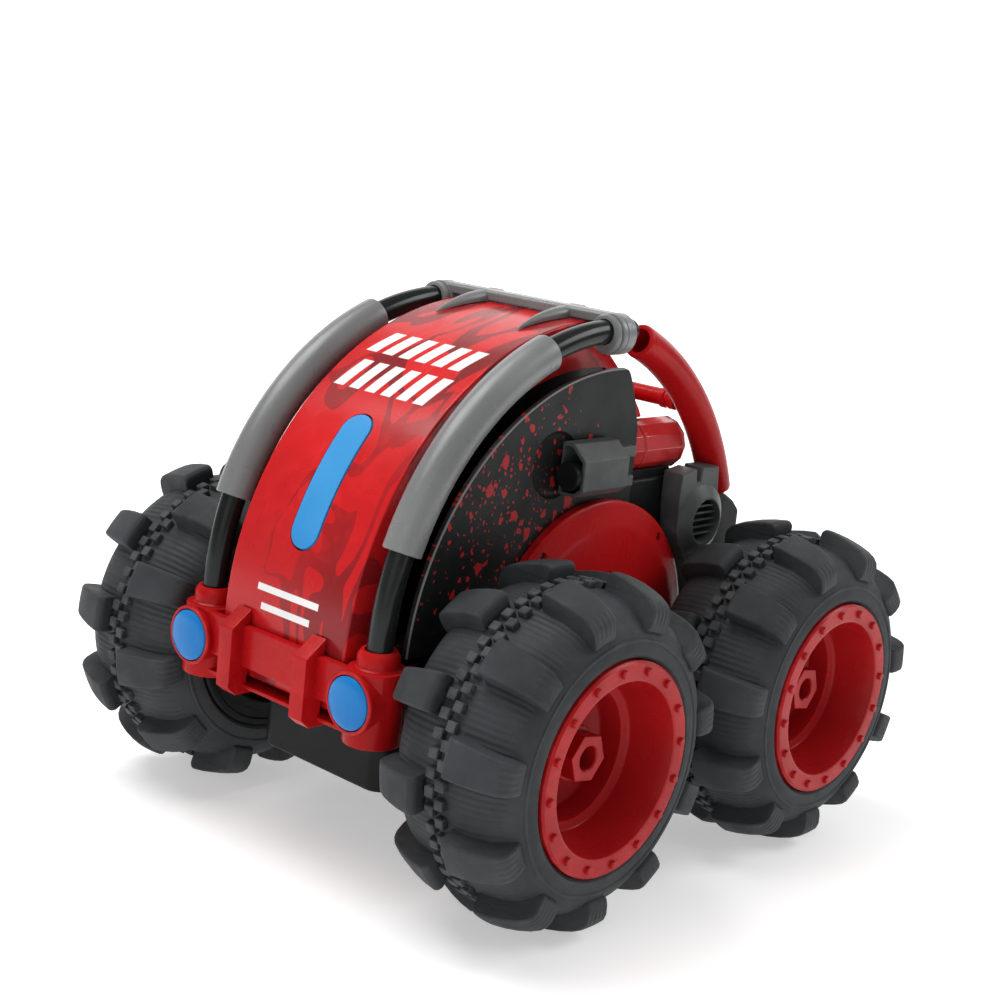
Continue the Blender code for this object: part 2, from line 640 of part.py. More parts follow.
def stripe_block(name, angle, half_length, half_width):
    """A capsule-shaped block that stands out of the shell at an angle, used to cut it."""
    straight = half_length - half_width
    capsule = arc((-straight, 0.0), half_width, -90, 90, 8) + arc((straight, 0.0), half_width, 90, 270, 8)
    block = slab(name, [capsule], "Z", (-8.0, 8.0), BLUE, cutters)
    # Local Z is turned onto the shell's radius at the angle, and local X onto the direction of the arc.
    lean = math.radians(angle)
    radial = Vector((0.0, -math.cos(lean), math.sin(lean)))
    along = Vector((0.0, math.sin(lean), math.cos(lean)))
    turn = Matrix((along, radial.cross(along), radial)).transposed().to_4x4()
    y, z = arc(SHELL_CENTRE, SHELL_RADIUS, angle, angle, 1)[0]
    block.matrix_world = Matrix.Translation(Vector((0.0, y, z)) * MM) @ turn
    return block


def bored_for_tube(target, name, side, angles):
    bore = TUBE_RADIUS + GAP
    cut(target, tube(name, side * TUBE_X, TUBE_CENTRE, TUBE_ARC_RADIUS, angles, bore, RED, cutters))


def roll_cage(side_name, side):
    """Front roll tube with its grey sleeve, and the rear hoop, which is open at its front end."""
    x = side * TUBE_X
    tube(f"roll_tube_{side_name}", x, TUBE_CENTRE, TUBE_ARC_RADIUS, (-4.0, 94.2), TUBE_RADIUS, BLACK)
    sleeve = tube(f"tube_sleeve_{side_name}", x, TUBE_CENTRE, TUBE_ARC_RADIUS, SLEEVE_ANGLES,
                  SLEEVE_RADIUS, GREY)
    low, high = SLEEVE_ANGLES
    bored_for_tube(sleeve, f"sleeve_bore_{side_name}", side, (low - 6, high + 6))
    hoop = tube(f"rear_hoop_{side_name}", x, HOOP_CENTRE, HOOP_ARC_RADIUS, HOOP_ANGLES, HOOP_RADIUS, RED)
    mouth = HOOP_ANGLES[0]
    cut(hoop, tube(f"hoop_mouth_{side_name}", x, HOOP_CENTRE, HOOP_ARC_RADIUS, (mouth - 3, mouth + 5),
                   HOOP_RADIUS - 1.4, RED, cutters))


def hoop_brace():
    """Straight rod between the rear hoops, with a collar at each end."""
    angle = 136.0
    y, z = arc(HOOP_CENTRE, HOOP_ARC_RADIUS, angle, angle, 1)[0]
    reach = TUBE_X - HOOP_RADIUS - GAP - 0.3
    brace = rod("hoop_brace", (-reach, y, z), (reach, y, z), (2.6, 2.6), RED)
    for side_name, side in SIDES:
        join(brace, rod(f"brace_collar_{side_name}", (side * (reach - 2.6), y, z), (side * reach, y, z),
                        (3.2, 3.2), RED))


def crossbar():
    """Grey bar over the top of the shell, with a clamp on each roll tube and two fins at the front."""
    top_z = 162.0
    front_y, rear_y = -8.4, -2.3
    bar_bottom = SHELL_CENTRE[1] + SHELL_RADIUS + GAP
    bar = box("top_crossbar", (-TUBE_X, front_y, bar_bottom), (TUBE_X, rear_y, top_z), GREY)
    for side_name, side in SIDES:
        x = side * TUBE_X
        z = TUBE_CENTRE[1] + TUBE_ARC_RADIUS - 0.9
        join(bar,
             rod(f"clamp_{side_name}", (x, front_y, z), (x, rear_y, z), (6.1, 6.1), GREY),
             rod(f"clamp_neck_{side_name}", (x, front_y - 1.5, z), (x, front_y + 1, z), (5.2, 5.2), GREY),
             rod(f"clamp_bead_{side_name}", (x, front_y - 2.4, z), (x, front_y - 0.8, z), (5.1, 5.9), GREY))
        bored_for_tube(bar, f"clamp_bore_{side_name}", side, (78.0, 102.0))
        foot = arc(SHELL_CENTRE, SHELL_RADIUS + GAP, 73.8, 89.0, 5)
        fin = foot + [(front_y + 2, top_z - 0.5), (-10.0, top_z - 0.5), (-16.0, 160.6), (-22.0, 158.8)]
        join(bar, slab(f"fin_{side_name}", [fin], "X", span_on(side, (14.6, 18.4)), GREY))


def side_plate(side_name, side):
    """Black quarter-round plate beside the shell, with a round dish, on three standoffs."""
    bottom = DECK_BOTTOM_Z + GAP
    start = math.degrees(math.asin((bottom - SHELL_CENTRE[1]) / PLATE_RADIUS))
    outline = arc(SHELL_CENTRE, PLATE_RADIUS, start, 91.8, 24)
    outline += [(2.6, 144.4), (6.5, 136.2), (SHELL_REAR_Y, 127.0), (SHELL_REAR_Y, bottom)]
    plate = slab(f"side_plate_{side_name}", [outline], "X", span_on(side, PLATE_X), BLACK)
    for y, z in ((-62.0, 92.0), (-26.0, 130.0), (2.0, 112.0)):
        join(plate, rod(f"standoff_{side_name}_{y:.0f}", (side * (SHELL_HALF_WIDTH + GAP), y, z),
                        (side * (PLATE_X[0] + 1), y, z), (2.5, 2.5), BLACK, segments=10))
    cut(plate, rod(f"dish_{side_name}", (side * 35.0, *DISH_CENTRE), (side * 37.0, *DISH_CENTRE),
                   (10.0, 10.0), BLACK, cutters))


def intake_block(side_name, side):
    """Grey chamfered block on the side plate, with a snout over the dish and two prongs at the rear."""
    inner = PLATE_X[1] + GAP
    section = [(inner, 110.5), (inner, 126.0), (40.5, 126.0), (45.5, 121.5), (45.5, 112.8), (42.5, 110.5)]
    block = slab(f"intake_block_{side_name}", [mirrored(section, side)], "Y", (-26.0, -5.5), DARK_GREY)
    snout_x = side * 40.7
    snout_z = 116.7
    join(block, rod(f"snout_{side_name}", (snout_x, -28.2, snout_z), (snout_x, -25.0, snout_z),
                    (4.2, 4.2), DARK_GREY))
    for z in (112.0, 120.8):
        low, high = span_on(side, (38.0, 43.0))
        join(block, box(f"prong_{side_name}_{z:.0f}", (low, -6.5, z), (high, 0.5, z + 3.3), DARK_GREY))


def engine_barrel(side_name, side):
    """Red ribbed barrel lying along the car on top of the engine bay."""
    x = side * BARREL_X
    waist = BARREL_RADIUS - 0.7
    start = BAY_FRONT_Y + GAP
    barrel = rod(f"engine_barrel_{side_name}", (x, start + 0.5, BARREL_Z), (x, 39.0, BARREL_Z),
                 (waist, waist), RED, segments=12)
    for low, high in ((start, 18.3), (19.1, 37.6)):
        join(barrel, rod(f"barrel_band_{side_name}_{low:.0f}", (x, low, BARREL_Z), (x, high, BARREL_Z),
                         (BARREL_RADIUS, BARREL_RADIUS), RED, segments=12))
    join(barrel, rod(f"barrel_cap_{side_name}", (x, 38.4, BARREL_Z), (x, 40.8, BARREL_Z),
                     (BARREL_RADIUS, 6.0), RED, segments=12))


def vent_housing(side_name, side):
    """Dark housing at the foot of the rear hoop, with a round louvred vent on its face."""
    face_x, lip_x = 41.5, 44.0
    block = [(28.0, 112.8), (35.4, 114.0), (36.2, 109.6), (37.8, 109.6), (38.4, 114.2), (47.2, 114.0),
             (48.6, 103.0), (47.0, 90.0), (44.0, 84.5), (34.6, 84.5), (29.2, 93.0), (27.8, 105.0)]
    housing = slab(f"vent_housing_{side_name}", [block], "X", span_on(side, (34.0, face_x)), DARK_GREY)
    join(housing,
         rod(f"vent_base_{side_name}", (side * 36.0, *VENT_CENTRE), (side * face_x, *VENT_CENTRE),
             (11.7, 11.7), DARK_GREY, segments=24),
         rod(f"vent_cone_{side_name}", (side * (face_x - 0.5), *VENT_CENTRE), (side * lip_x, *VENT_CENTRE),
             (11.7, 7.8), DARK_GREY, segments=24))
    cut(housing,
        rod(f"vent_mouth_{side_name}", (side * 38.5, *VENT_CENTRE), (side * 45.0, *VENT_CENTRE),
            (6.9, 6.9), DARK_GREY, cutters, 24),
        hoop_socket(f"vent_socket_{side_name}", side))


def side_cover(side_name, side):
    """Round red cover over the middle of the gearbox, flat at the bottom, with two screw holes."""
    face, rim_face, back = 41.3, 39.0, GEARBOX_OUT_X + GAP
    wall = 2.2
    profile = [(0.0, face), (COVER_RADIUS - 6, face), (COVER_RADIUS, rim_face), (COVER_RADIUS, back)]
    profile += [(COVER_RADIUS - wall, back), (COVER_RADIUS - wall, rim_face - 1)]
    profile += [(COVER_RADIUS - 7, face - wall), (0.0, face - wall)]
    cover = turned(f"side_cover_{side_name}", profile, (0, *COVER_CENTRE), side, 32, RED)
    low_x, high_x = span_on(side, (30.0, 50.0))
    cut(cover, box(f"cover_flat_{side_name}", (low_x, -60.0, 0.0), (high_x, 50.0, 29.0), RED, cutters))
    for y, z in arc(COVER_CENTRE, COVER_RADIUS - 3.4, 49, 131, 1):
        cut(cover, rod(f"cover_hole_{side_name}_{y:.0f}", (side * 37.0, y, z), (side * 42.0, y, z),
                       (1.2, 1.2), RED, cutters, 10))


# ---------------------------------------------------------------- bumpers and lamps


def front_bumper():
    """Red bar between two posts that hold the roll tubes and the lamps, with two cleats."""
    bumper = box("front_bumper", (-POST_X, -97.5, 56.0), (POST_X, -94.8, 68.0), RED)
    join(bumper, box("bumper_shelf", (-POST_X, -96.0, 49.0), (POST_X, HULL_FRONT_Y - GAP, 50.6), RED))
    cleat = [(-101.5, 50.0), (-101.5, 67.5), (-94.8, 72.5), (-94.8, 50.0), (-90.0, 50.0),
             (-90.0, 47.5), (-98.5, 47.5)]
    for side_name, side in SIDES:
        x = side * POST_X
        join(bumper,
             slab(f"cleat_{side_name}", [cleat], "X", span_on(side, BRACKET_X), RED),
             rod(f"post_{side_name}", (x, POST_Y, 47.5), (x, POST_Y, 68.5), (8.1, 8.1), RED),
             rod(f"post_collar_{side_name}", (x, POST_Y, 68.0), (x, POST_Y, 73.5), (5.9, 5.3), RED),
             rod(f"lamp_barrel_{side_name}", (side * LAMP_X, POST_Y, LAMP_Z),
                 (side * LAMP_X, LAMP_FRONT_Y, LAMP_Z), (LAMP_RADIUS, LAMP_RADIUS), RED))
        seat = LAMP_FRONT_Y + 2.5
        cut(bumper, rod(f"lamp_seat_{side_name}", (side * LAMP_X, seat, LAMP_Z),
                        (side * LAMP_X, LAMP_FRONT_Y - 1, LAMP_Z), (7.6, 7.6), RED, cutters))
        bored_for_tube(bumper, f"post_bore_{side_name}", side, (-6.0, 6.0))
        lens = rod(f"lamp_lens_{side_name}", (side * LAMP_X, seat - GAP, LAMP_Z),
                   (side * LAMP_X, LAMP_FRONT_Y, LAMP_Z), (7.3, 7.3), BLUE)
        join(lens, rod(f"lens_dome_{side_name}", (side * LAMP_X, LAMP_FRONT_Y + 0.5, LAMP_Z),
                       (side * LAMP_X, LAMP_FRONT_Y - 1.4, LAMP_Z), (7.3, 5.0), BLUE))
    room = SHELL_HALF_WIDTH + GAP
    cut(bumper, box("shell_room", (-room, -94.6, 51.2), (room, -80.0, 76.0), RED, cutters))


def rear_bumper():
    """Red bar behind the hull, on two brackets."""
    bumper = box("rear_bumper", (-32.0, 79.0, 50.0), (32.0, 82.0, 62.0), RED)
    for side_name, side in SIDES:
        low, high = span_on(side, BRACKET_X)
        join(bumper, box(f"bracket_{side_name}", (low, HULL_REAR_Y + GAP, 48.0), (high, 84.5, 65.0), RED))


# ---------------------------------------------------------------- assembly

tread_mesh = tyre_mesh()
pinions = []
for side_label, side_sign in SIDES:
    for end_label, end_sign in ENDS:
        wheel(f"{end_label}_{side_label}", side_sign, WHEELBASE / 2 * end_sign, tread_mesh)
    pinions.append((side_sign, gear_train(side_label, side_sign)))
    gearbox(side_label, side_sign)
    roll_cage(side_label, side_sign)
    side_plate(side_label, side_sign)
    intake_block(side_label, side_sign)
    engine_barrel(side_label, side_sign)
    vent_housing(side_label, side_sign)
    side_cover(side_label, side_sign)
hull(pinions)
upper_body()
centre_shell()
crossbar()
hoop_brace()
front_bumper()
rear_bumper()
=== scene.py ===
"""Looks of a remote-controlled amphibious stunt car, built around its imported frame.

Shapes are given in millimetres in the car's own frame, and become metres once, when a mesh is made.
The car's front faces -Y, its left side is +X, and it stands on z = 0. A side is 1 for left and -1 for
right, and every shape of the left side is the mirror image of the one on the right.
"""

import math

import bmesh
import bpy
from mathutils import Matrix, Vector


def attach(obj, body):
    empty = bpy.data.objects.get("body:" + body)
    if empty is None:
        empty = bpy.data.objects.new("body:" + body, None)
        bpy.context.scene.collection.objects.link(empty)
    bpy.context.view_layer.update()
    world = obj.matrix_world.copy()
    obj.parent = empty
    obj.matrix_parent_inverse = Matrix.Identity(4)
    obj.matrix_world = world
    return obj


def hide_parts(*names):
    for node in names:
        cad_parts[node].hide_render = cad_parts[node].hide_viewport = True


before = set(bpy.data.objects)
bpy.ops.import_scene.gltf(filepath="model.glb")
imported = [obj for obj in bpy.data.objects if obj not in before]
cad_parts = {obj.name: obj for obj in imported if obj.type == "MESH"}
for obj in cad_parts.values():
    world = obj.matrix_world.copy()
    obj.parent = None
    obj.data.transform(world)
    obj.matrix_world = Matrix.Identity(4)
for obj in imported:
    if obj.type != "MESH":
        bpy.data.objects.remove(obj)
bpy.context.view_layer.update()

MM = 0.001
GAP = 0.3
SIDES = (("left", 1), ("right", -1))
ENDS = (("front", -1), ("rear", 1))
AXES = {"X": Vector((1, 0, 0)), "Y": Vector((0, 1, 0)), "Z": Vector((0, 0, 1))}

# Wheels.
WHEELBASE = 108.0
AXLE_Z = 50.0
TYRE_RADIUS = 50.0
TYRE_MID_X = 67.25
TYRE_HALF_WIDTH = 22.25
LUGS_PER_ROW = 11
FLANGE_RADIUS = 30.0
FLANGE_X = 90.0
HUB_FACE_X = 79.9
RING_X = 47.7

# Hull, deck and engine bay.
HULL_HALF_WIDTH = 26.0
HULL_FRONT_Y = -77.0
HULL_REAR_Y = 74.0
HULL_BOTTOM_Z = 25.5
HULL_TOP_Z = 61.8
LID_BOTTOM_Z = 63.4
DECK_BOTTOM_Z = 69.0
DECK_TOP_Z = 72.0
DECK_HALF_WIDTH = 33.7
DECK_FRONT_Y = -80.0
BAY_FRONT_Y = 10.0
BAY_TOP_Z = 110.5

# Shell, plates and tubes are arcs seen from the side, with (y, z) centres.
SHELL_CENTRE = (-1.5, 65.8)
SHELL_RADIUS = 92.85
SHELL_HALF_WIDTH = 25.2
SKIRT_RADIUS = 78.6
SKIRT_DEPTH = 0.6
SKIRT_REAR_Y = 4.0
PLATE_RADIUS = 80.2
PLATE_X = (34.0, 36.0)
DISH_CENTRE = (-28.0, 119.0)
TUBE_X = 34.5
TUBE_CENTRE = (-4.9, 71.3)
TUBE_ARC_RADIUS = 85.7
TUBE_RADIUS = 3.6
SLEEVE_RADIUS = 5.5
SLEEVE_ANGLES = (19.1, 69.3)
HOOP_CENTRE = (-23.4, 74.0)
HOOP_ARC_RADIUS = 85.2
HOOP_ANGLES = (110.4, 159.0)
HOOP_RADIUS = 5.25
STRIPE_ANGLES = (16.5, 43.1)
STRIPE_WIDTH = 11.4

# Bumper, lamps and engine dressing.
POST_X = 34.2
POST_Y = -90.4
BRACKET_X = (12.7, 18.2)
LAMP_X = 33.5
LAMP_Z = 59.8
LAMP_FRONT_Y = -99.8
BARREL_X = 24.8
BARREL_Z = 119.2
BARREL_RADIUS = 8.3
COVER_CENTRE = (-6.0, 62.0)
COVER_RADIUS = 45.0
VENT_CENTRE = (40.1, 97.2)

CAMERA_AZIMUTH = math.radians(40.755)
CAMERA_ELEVATION = math.radians(12.376)
CAMERA_ROLL = math.radians(6.154)
CAMERA_PLACE = (0.3449, -0.4088, 0.2147)
CAMERA_LENS = 62.94


# ---------------------------------------------------------------- materials


def node(tree, kind, inputs=(), **settings):
    """A new shader node. An input is linked if its value is a socket, and set if it is a number."""
    made = tree.nodes.new("ShaderNode" + kind)
    for name, value in settings.items():
        setattr(made, name, value)
    for name, value in dict(inputs).items():
        if isinstance(value, bpy.types.NodeSocket):
            tree.links.new(value, made.inputs[name])
        else:
            made.inputs[name].default_value = value
    return made


def maths(tree, operation, first, second=0.0):
    made = node(tree, "Math", operation=operation)
    for socket, value in zip(made.inputs, (first, second)):
        if isinstance(value, bpy.types.NodeSocket):
            tree.links.new(value, socket)
        else:
            socket.default_value = value
    return made.outputs[0]


def product(tree, first, *others):
    for other in others:
        first = maths(tree, "MULTIPLY", first, other)
    return first


def faded(tree, value, low, high, reach=(0.0, 1.0)):
    """The value mapped smoothly from between low and high to the reach, and held outside."""
    made = node(tree, "MapRange", {"Value": value, "From Min": low, "From Max": high, "To Min": reach[0],
                                   "To Max": reach[1]}, interpolation_type="SMOOTHSTEP")
    return made.outputs["Result"]


def mixed(tree, share, first, second, blend="MIX"):
    made = node(tree, "MixRGB", {"Fac": share, "Color1": first, "Color2": second}, blend_type=blend)
    return made.outputs["Color"]


def bumped(tree, shader, height, strength, distance):
    """Bends the shader's normal by the height, with the distance in metres."""
    bump = node(tree, "Bump", {"Height": height, "Strength": strength, "Distance": distance})
    tree.links.new(bump.outputs["Normal"], shader.inputs["Normal"])


def noise(tree, place, scale, detail=3.0, distortion=0.0):
    made = node(tree, "TexNoise", {"Vector": place, "Scale": scale, "Detail": detail,
                                   "Distortion": distortion})
    return made.outputs["Fac"]


def blank(name):
    """A material with its tree, its Principled shader and the place in the car's frame, in metres."""
    made = bpy.data.materials.new(name)
    made.use_nodes = True
    tree = made.node_tree
    place = node(tree, "TexCoord").outputs["Object"]
    return made, tree, tree.nodes["Principled BSDF"], place


def moulded(name, dark, light, roughness, grain=0.1, wear_and_edge_highlight=0.25, coat=0.0, shine=0.3, paint=None,
            grain_scale=2600.0):
    """Moulded plastic: two tones that drift, fine grain, smudged gloss and paler edges, partly wear and
    partly a painted highlight.
    """
    made, tree, shader, place = blank(name)
    drift = faded(tree, noise(tree, place, 26.0, 4.0), 0.3, 0.7)
    colour = mixed(tree, drift, (*dark, 1), (*light, 1))
    if paint:
        colour = paint(tree, place, colour)
    # Paler edges: partly wear, partly a painted highlight where the edges catch the light.
    edge = faded(tree, node(tree, "NewGeometry").outputs["Pointiness"], 0.52, 0.6)
    rubbed_and_highlit = faded(tree, noise(tree, place, 190.0, 5.0), 0.42, 0.62)
    worn_and_highlit = product(tree, edge, rubbed_and_highlit, wear_and_edge_highlight)
    pale_wear_and_highlight = [min(1.0, 0.02 + channel * 1.7) for channel in light]
    colour = mixed(tree, worn_and_highlit, colour, (*pale_wear_and_highlight, 1))
    tree.links.new(colour, shader.inputs["Base Color"])
    smudge = faded(tree, noise(tree, place, 70.0, 6.0, 0.6), 0.3, 0.75, (roughness - 0.05, roughness + 0.09))
    tree.links.new(smudge, shader.inputs["Roughness"])
    bumped(tree, shader, noise(tree, place, grain_scale, 2.0), grain, 0.0002)
    shader.inputs["Specular IOR Level"].default_value = shine
    shader.inputs["Coat Weight"].default_value = coat
    shader.inputs["Coat Roughness"].default_value = 0.12
    return made


def reach_from(tree, place, centre):
    """How far a place is from a line along X through the centre, in metres."""
    flat = node(tree, "VectorMath", {0: place, 1: (0.0, 1.0, 1.0)}, operation="MULTIPLY").outputs["Vector"]
    middle = (0.0, centre[0] * MM, centre[1] * MM)
    return node(tree, "VectorMath", {0: flat, 1: middle}, operation="DISTANCE").outputs["Value"]


def camouflage_and_painted_shade(tree, place, colour):
    """Darker translucent ribbons that flow along the shell, painted shade that deepens the tone towards the
    bumper, and near-black painted shade on the sides inside the red skirt."""
    flow = node(tree, "Mapping", {"Vector": place, "Scale": (1.0, 0.45, 0.45), "Rotation": (0.0, 0.35, 0.0)})
    field = noise(tree, flow.outputs["Vector"], 52.0, 1.2, 1.1)
    width = faded(tree, noise(tree, place, 34.0, 0.0), 0.35, 0.7, (0.008, 0.075))
    away = maths(tree, "ABSOLUTE", maths(tree, "SUBTRACT", field, 0.5))
    ribbon = faded(tree, maths(tree, "SUBTRACT", away, width), 0.0012, -0.0012)
    depth = faded(tree, noise(tree, place, 24.0, 1.0), 0.35, 0.65, (0.5, 0.95))
    colour = mixed(tree, product(tree, ribbon, depth), colour, (0.2, 0.009, 0.011, 1))
    parts = node(tree, "SeparateXYZ", {"Vector": place})
    # Painted shade: a deeper tone low on the shell, towards the bumper.
    painted_lower_shade = mixed(tree, 0.35, colour, (0.3, 0.012, 0.016, 1))
    colour = mixed(tree, faded(tree, parts.outputs["Z"], 0.075, 0.15), painted_lower_shade, colour)
    # Painted shade: near-black on the shell's sides inside the red skirt, between the shell and the side
    # plate.
    on_side = maths(tree, "GREATER_THAN", maths(tree, "ABSOLUTE", parts.outputs["X"]),
                    (SHELL_HALF_WIDTH - SKIRT_DEPTH - 0.3) * MM)
    inside = maths(tree, "LESS_THAN", reach_from(tree, place, SHELL_CENTRE), (SKIRT_RADIUS + 0.05) * MM)
    ahead = maths(tree, "LESS_THAN", parts.outputs["Y"], (SKIRT_REAR_Y + 0.05) * MM)
    return mixed(tree, product(tree, on_side, inside, ahead), colour, (0.007, 0.005, 0.005, 1))


def splatter_and_painted_edge_highlight(tree, place, colour):
    """Red drops of many sizes around the middle of the plate, and a painted highlight: a light grey line
    along its curved edge.
    """
    parts = node(tree, "SeparateXYZ", {"Vector": place})
    runs = product(tree, parts.outputs["Z"], 0.8)
    flat = node(tree, "CombineXYZ", {"X": parts.outputs["Y"], "Y": runs}).outputs["Vector"]
    ripple = node(tree, "TexNoise", {"Vector": flat, "Scale": 420.0}).outputs["Color"]
    bent = mixed(tree, 0.0025, flat, ripple, "ADD")
    spread = reach_from(tree, place, (-47.0, 108.0))
    drops = None
    for scale, size, keep in ((340.0, 0.32, 0.5), (170.0, 0.36, 0.52), (620.0, 0.3, 0.5)):
        cells = node(tree, "TexVoronoi", {"Vector": bent, "Scale": scale}, voronoi_dimensions="2D")
        chance = node(tree, "SeparateColor", {"Color": cells.outputs["Color"]})
        crowd = faded(tree, spread, 0.008, 0.05, (keep, 1.0))
        shown = maths(tree, "GREATER_THAN", chance.outputs["Red"], crowd)
        radius = product(tree, chance.outputs["Green"], size)
        drop = product(tree, shown, maths(tree, "LESS_THAN", cells.outputs["Distance"], radius))
        drops = drop if drops is None else maths(tree, "MAXIMUM", drops, drop)
    colour = mixed(tree, drops, colour, (0.40, 0.017, 0.02, 1))
    # Painted highlight: a light grey line along the plate's curved outer edge.
    rim = maths(tree, "GREATER_THAN", reach_from(tree, place, SHELL_CENTRE), (PLATE_RADIUS - 0.42) * MM)
    outer = maths(tree, "GREATER_THAN", maths(tree, "ABSOLUTE", parts.outputs["X"]), (PLATE_X[1] - 0.44) * MM)
    return mixed(tree, product(tree, rim, outer), colour, (0.24, 0.24, 0.24, 1))


def rubber(name):
    """Tyre rubber, greyer where it is scuffed, with fine ribs on the floor between the lugs."""
    made, tree, shader, place = blank(name)
    drift = faded(tree, noise(tree, place, 55.0, 6.0), 0.3, 0.7)
    colour = mixed(tree, drift, (0.024, 0.027, 0.029, 1), (0.043, 0.048, 0.051, 1))
    edge = faded(tree, node(tree, "NewGeometry").outputs["Pointiness"], 0.51, 0.6)
    scuffed = product(tree, edge, faded(tree, noise(tree, place, 260.0, 4.0), 0.35, 0.65), 0.5)
    colour = mixed(tree, scuffed, colour, (0.10, 0.105, 0.108, 1))
    tree.links.new(colour, shader.inputs["Base Color"])
    shader.inputs["Specular IOR Level"].default_value = 0.25
    dull = faded(tree, noise(tree, place, 120.0, 5.0), 0.3, 0.7, (0.58, 0.76))
    tree.links.new(dull, shader.inputs["Roughness"])

    parts = node(tree, "SeparateXYZ", {"Vector": place})
    angle = maths(tree, "ARCTAN2", parts.outputs["Y"], parts.outputs["Z"])
    ribs = maths(tree, "SINE", product(tree, angle, 14.0 * LUGS_PER_ROW))
    radius = reach_from(tree, place, (0.0, 0.0))
    floor_only = product(tree, faded(tree, radius, 0.0395, 0.0405), faded(tree, radius, 0.0462, 0.0455))
    height = maths(tree, "ADD", product(tree, ribs, floor_only, 0.6), noise(tree, place, 1900.0, 3.0))
    bumped(tree, shader, height, 0.45, 0.0003)
    return made


def lens(name):
    """Blue lens plastic with a painted highlight that makes it a little lighter towards the top, fine prisms
    and a faint glow.
    """
    made, tree, shader, place = blank(name)
    parts = node(tree, "SeparateXYZ", {"Vector": place})
    # Painted highlight: the lens is made lighter towards the top.
    rise = faded(tree, parts.outputs["Z"], 0.05, 0.125)
    cloud = faded(tree, noise(tree, place, 60.0, 2.0), 0.3, 0.7, (0.0, 0.35))
    low = mixed(tree, cloud, (0.004, 0.15, 0.44, 1), (0.01, 0.2, 0.54, 1))
    high = mixed(tree, cloud, (0.05, 0.29, 0.62, 1), (0.085, 0.35, 0.7, 1))
    colour = mixed(tree, rise, low, high)
    tree.links.new(colour, shader.inputs["Base Color"])
    tree.links.new(colour, shader.inputs["Emission Color"])
    shader.inputs["Emission Strength"].default_value = 0.08
    shader.inputs["Specular IOR Level"].default_value = 0.16
    shader.inputs["Coat Weight"].default_value = 0.06
    shader.inputs["Coat Roughness"].default_value = 0.05
    haze = faded(tree, noise(tree, place, 90.0, 3.0), 0.3, 0.7, (0.16, 0.26))
    tree.links.new(haze, shader.inputs["Roughness"])
    prisms = node(tree, "TexWave", {"Vector": place, "Scale": 160.0, "Distortion": 0.0}, bands_direction="X")
    bumped(tree, shader, prisms.outputs["Fac"], 0.06, 0.0002)
    return made


def metal(name, colour, roughness):
    """Drawn metal with fine lines across its length."""
    made, tree, shader, place = blank(name)
    lines = node(tree, "Mapping", {"Vector": place, "Scale": (1.0, 14.0, 14.0)}).outputs["Vector"]
    streak = noise(tree, lines, 160.0, 4.0)
    darker = [channel * 0.7 for channel in colour]
    tree.links.new(mixed(tree, streak, (*darker, 1), (*colour, 1)), shader.inputs["Base Color"])
    polish = faded(tree, streak, 0.3, 0.7, (roughness - 0.08, roughness + 0.1))
    tree.links.new(polish, shader.inputs["Roughness"])
    shader.inputs["Metallic"].default_value = 1.0
    bumped(tree, shader, streak, 0.12, 0.0001)
    return made


def tracks(tree, place, colour):
    """Copper tracks under green solder resist."""
    grid = node(tree, "TexBrick", {"Vector": place, "Scale": 260.0, "Mortar Size": 0.03,
                                   "Color1": (0, 0, 0, 1), "Color2": (0, 0, 0, 1), "Mortar": (1, 1, 1, 1)})
    return mixed(tree, product(tree, grid.outputs["Color"], 0.6), colour, (0.1, 0.42, 0.16, 1))


RED = moulded("gloss_red", (0.36, 0.0045, 0.006), (0.46, 0.0075, 0.009), 0.27, 0.05, 0.3, coat=0.03,
              shine=0.11)
BARREL = moulded("barrel_red", (0.44, 0.02, 0.022), (0.54, 0.028, 0.03), 0.2, 0.03, 0.5, coat=0.35,
                 shine=0.5)
PANEL = moulded("camouflaged_red_with_painted_shade", (0.56, 0.008, 0.010), (0.72, 0.012, 0.014), 0.24, 0.04, 0.25, coat=0.12,
                shine=0.2, paint=camouflage_and_painted_shade)
RIM_RED = moulded("rim_red", (0.32, 0.006, 0.008), (0.41, 0.010, 0.012), 0.3, 0.08, 0.35, coat=0.02,
                  shine=0.15)
BLACK = moulded("satin_black", (0.005, 0.006, 0.006), (0.009, 0.010, 0.010), 0.38, 0.12, 0.25, shine=0.12)
PLATE = moulded("splattered_black_with_painted_highlight", (0.007, 0.008, 0.008), (0.014, 0.0155, 0.0155), 0.42, 0.1, 0.3,
                shine=0.2, paint=splatter_and_painted_edge_highlight)
TUBE = moulded("tube_black", (0.006, 0.0075, 0.0075), (0.010, 0.0125, 0.0125), 0.22, 0.05, 0.25, coat=0.05,
               shine=0.25)
GREY = moulded("sleeve_grey", (0.165, 0.167, 0.168), (0.205, 0.208, 0.209), 0.3, 0.32, 0.12, shine=0.6,
               grain_scale=2200.0)
DARK_GREY = moulded("housing_grey", (0.055, 0.058, 0.059), (0.08, 0.084, 0.085), 0.42, 0.14, 0.35, shine=0.25)
NYLON = moulded("natural_nylon", (0.66, 0.64, 0.58), (0.78, 0.76, 0.71), 0.42, 0.08, 0.1)
SEAL = moulded("seal_silicone", (0.26, 0.04, 0.03), (0.36, 0.06, 0.045), 0.6, 0.15, 0.1)
WRAP = moulded("battery_wrap_blue", (0.025, 0.07, 0.24), (0.05, 0.12, 0.36), 0.28, 0.1, 0.2)
BOARD = moulded("board_green", (0.012, 0.12, 0.03), (0.02, 0.19, 0.055), 0.34, 0.08, 0.1, paint=tracks)
INK = moulded("white_ink", (0.80, 0.80, 0.79), (0.90, 0.90, 0.89), 0.3, 0.04, 0.05)
RUBBER = rubber("tyre_rubber_grey")
LENS = lens("lens_blue")
STEEL = metal("drawn_steel", (0.62, 0.62, 0.64), 0.32)


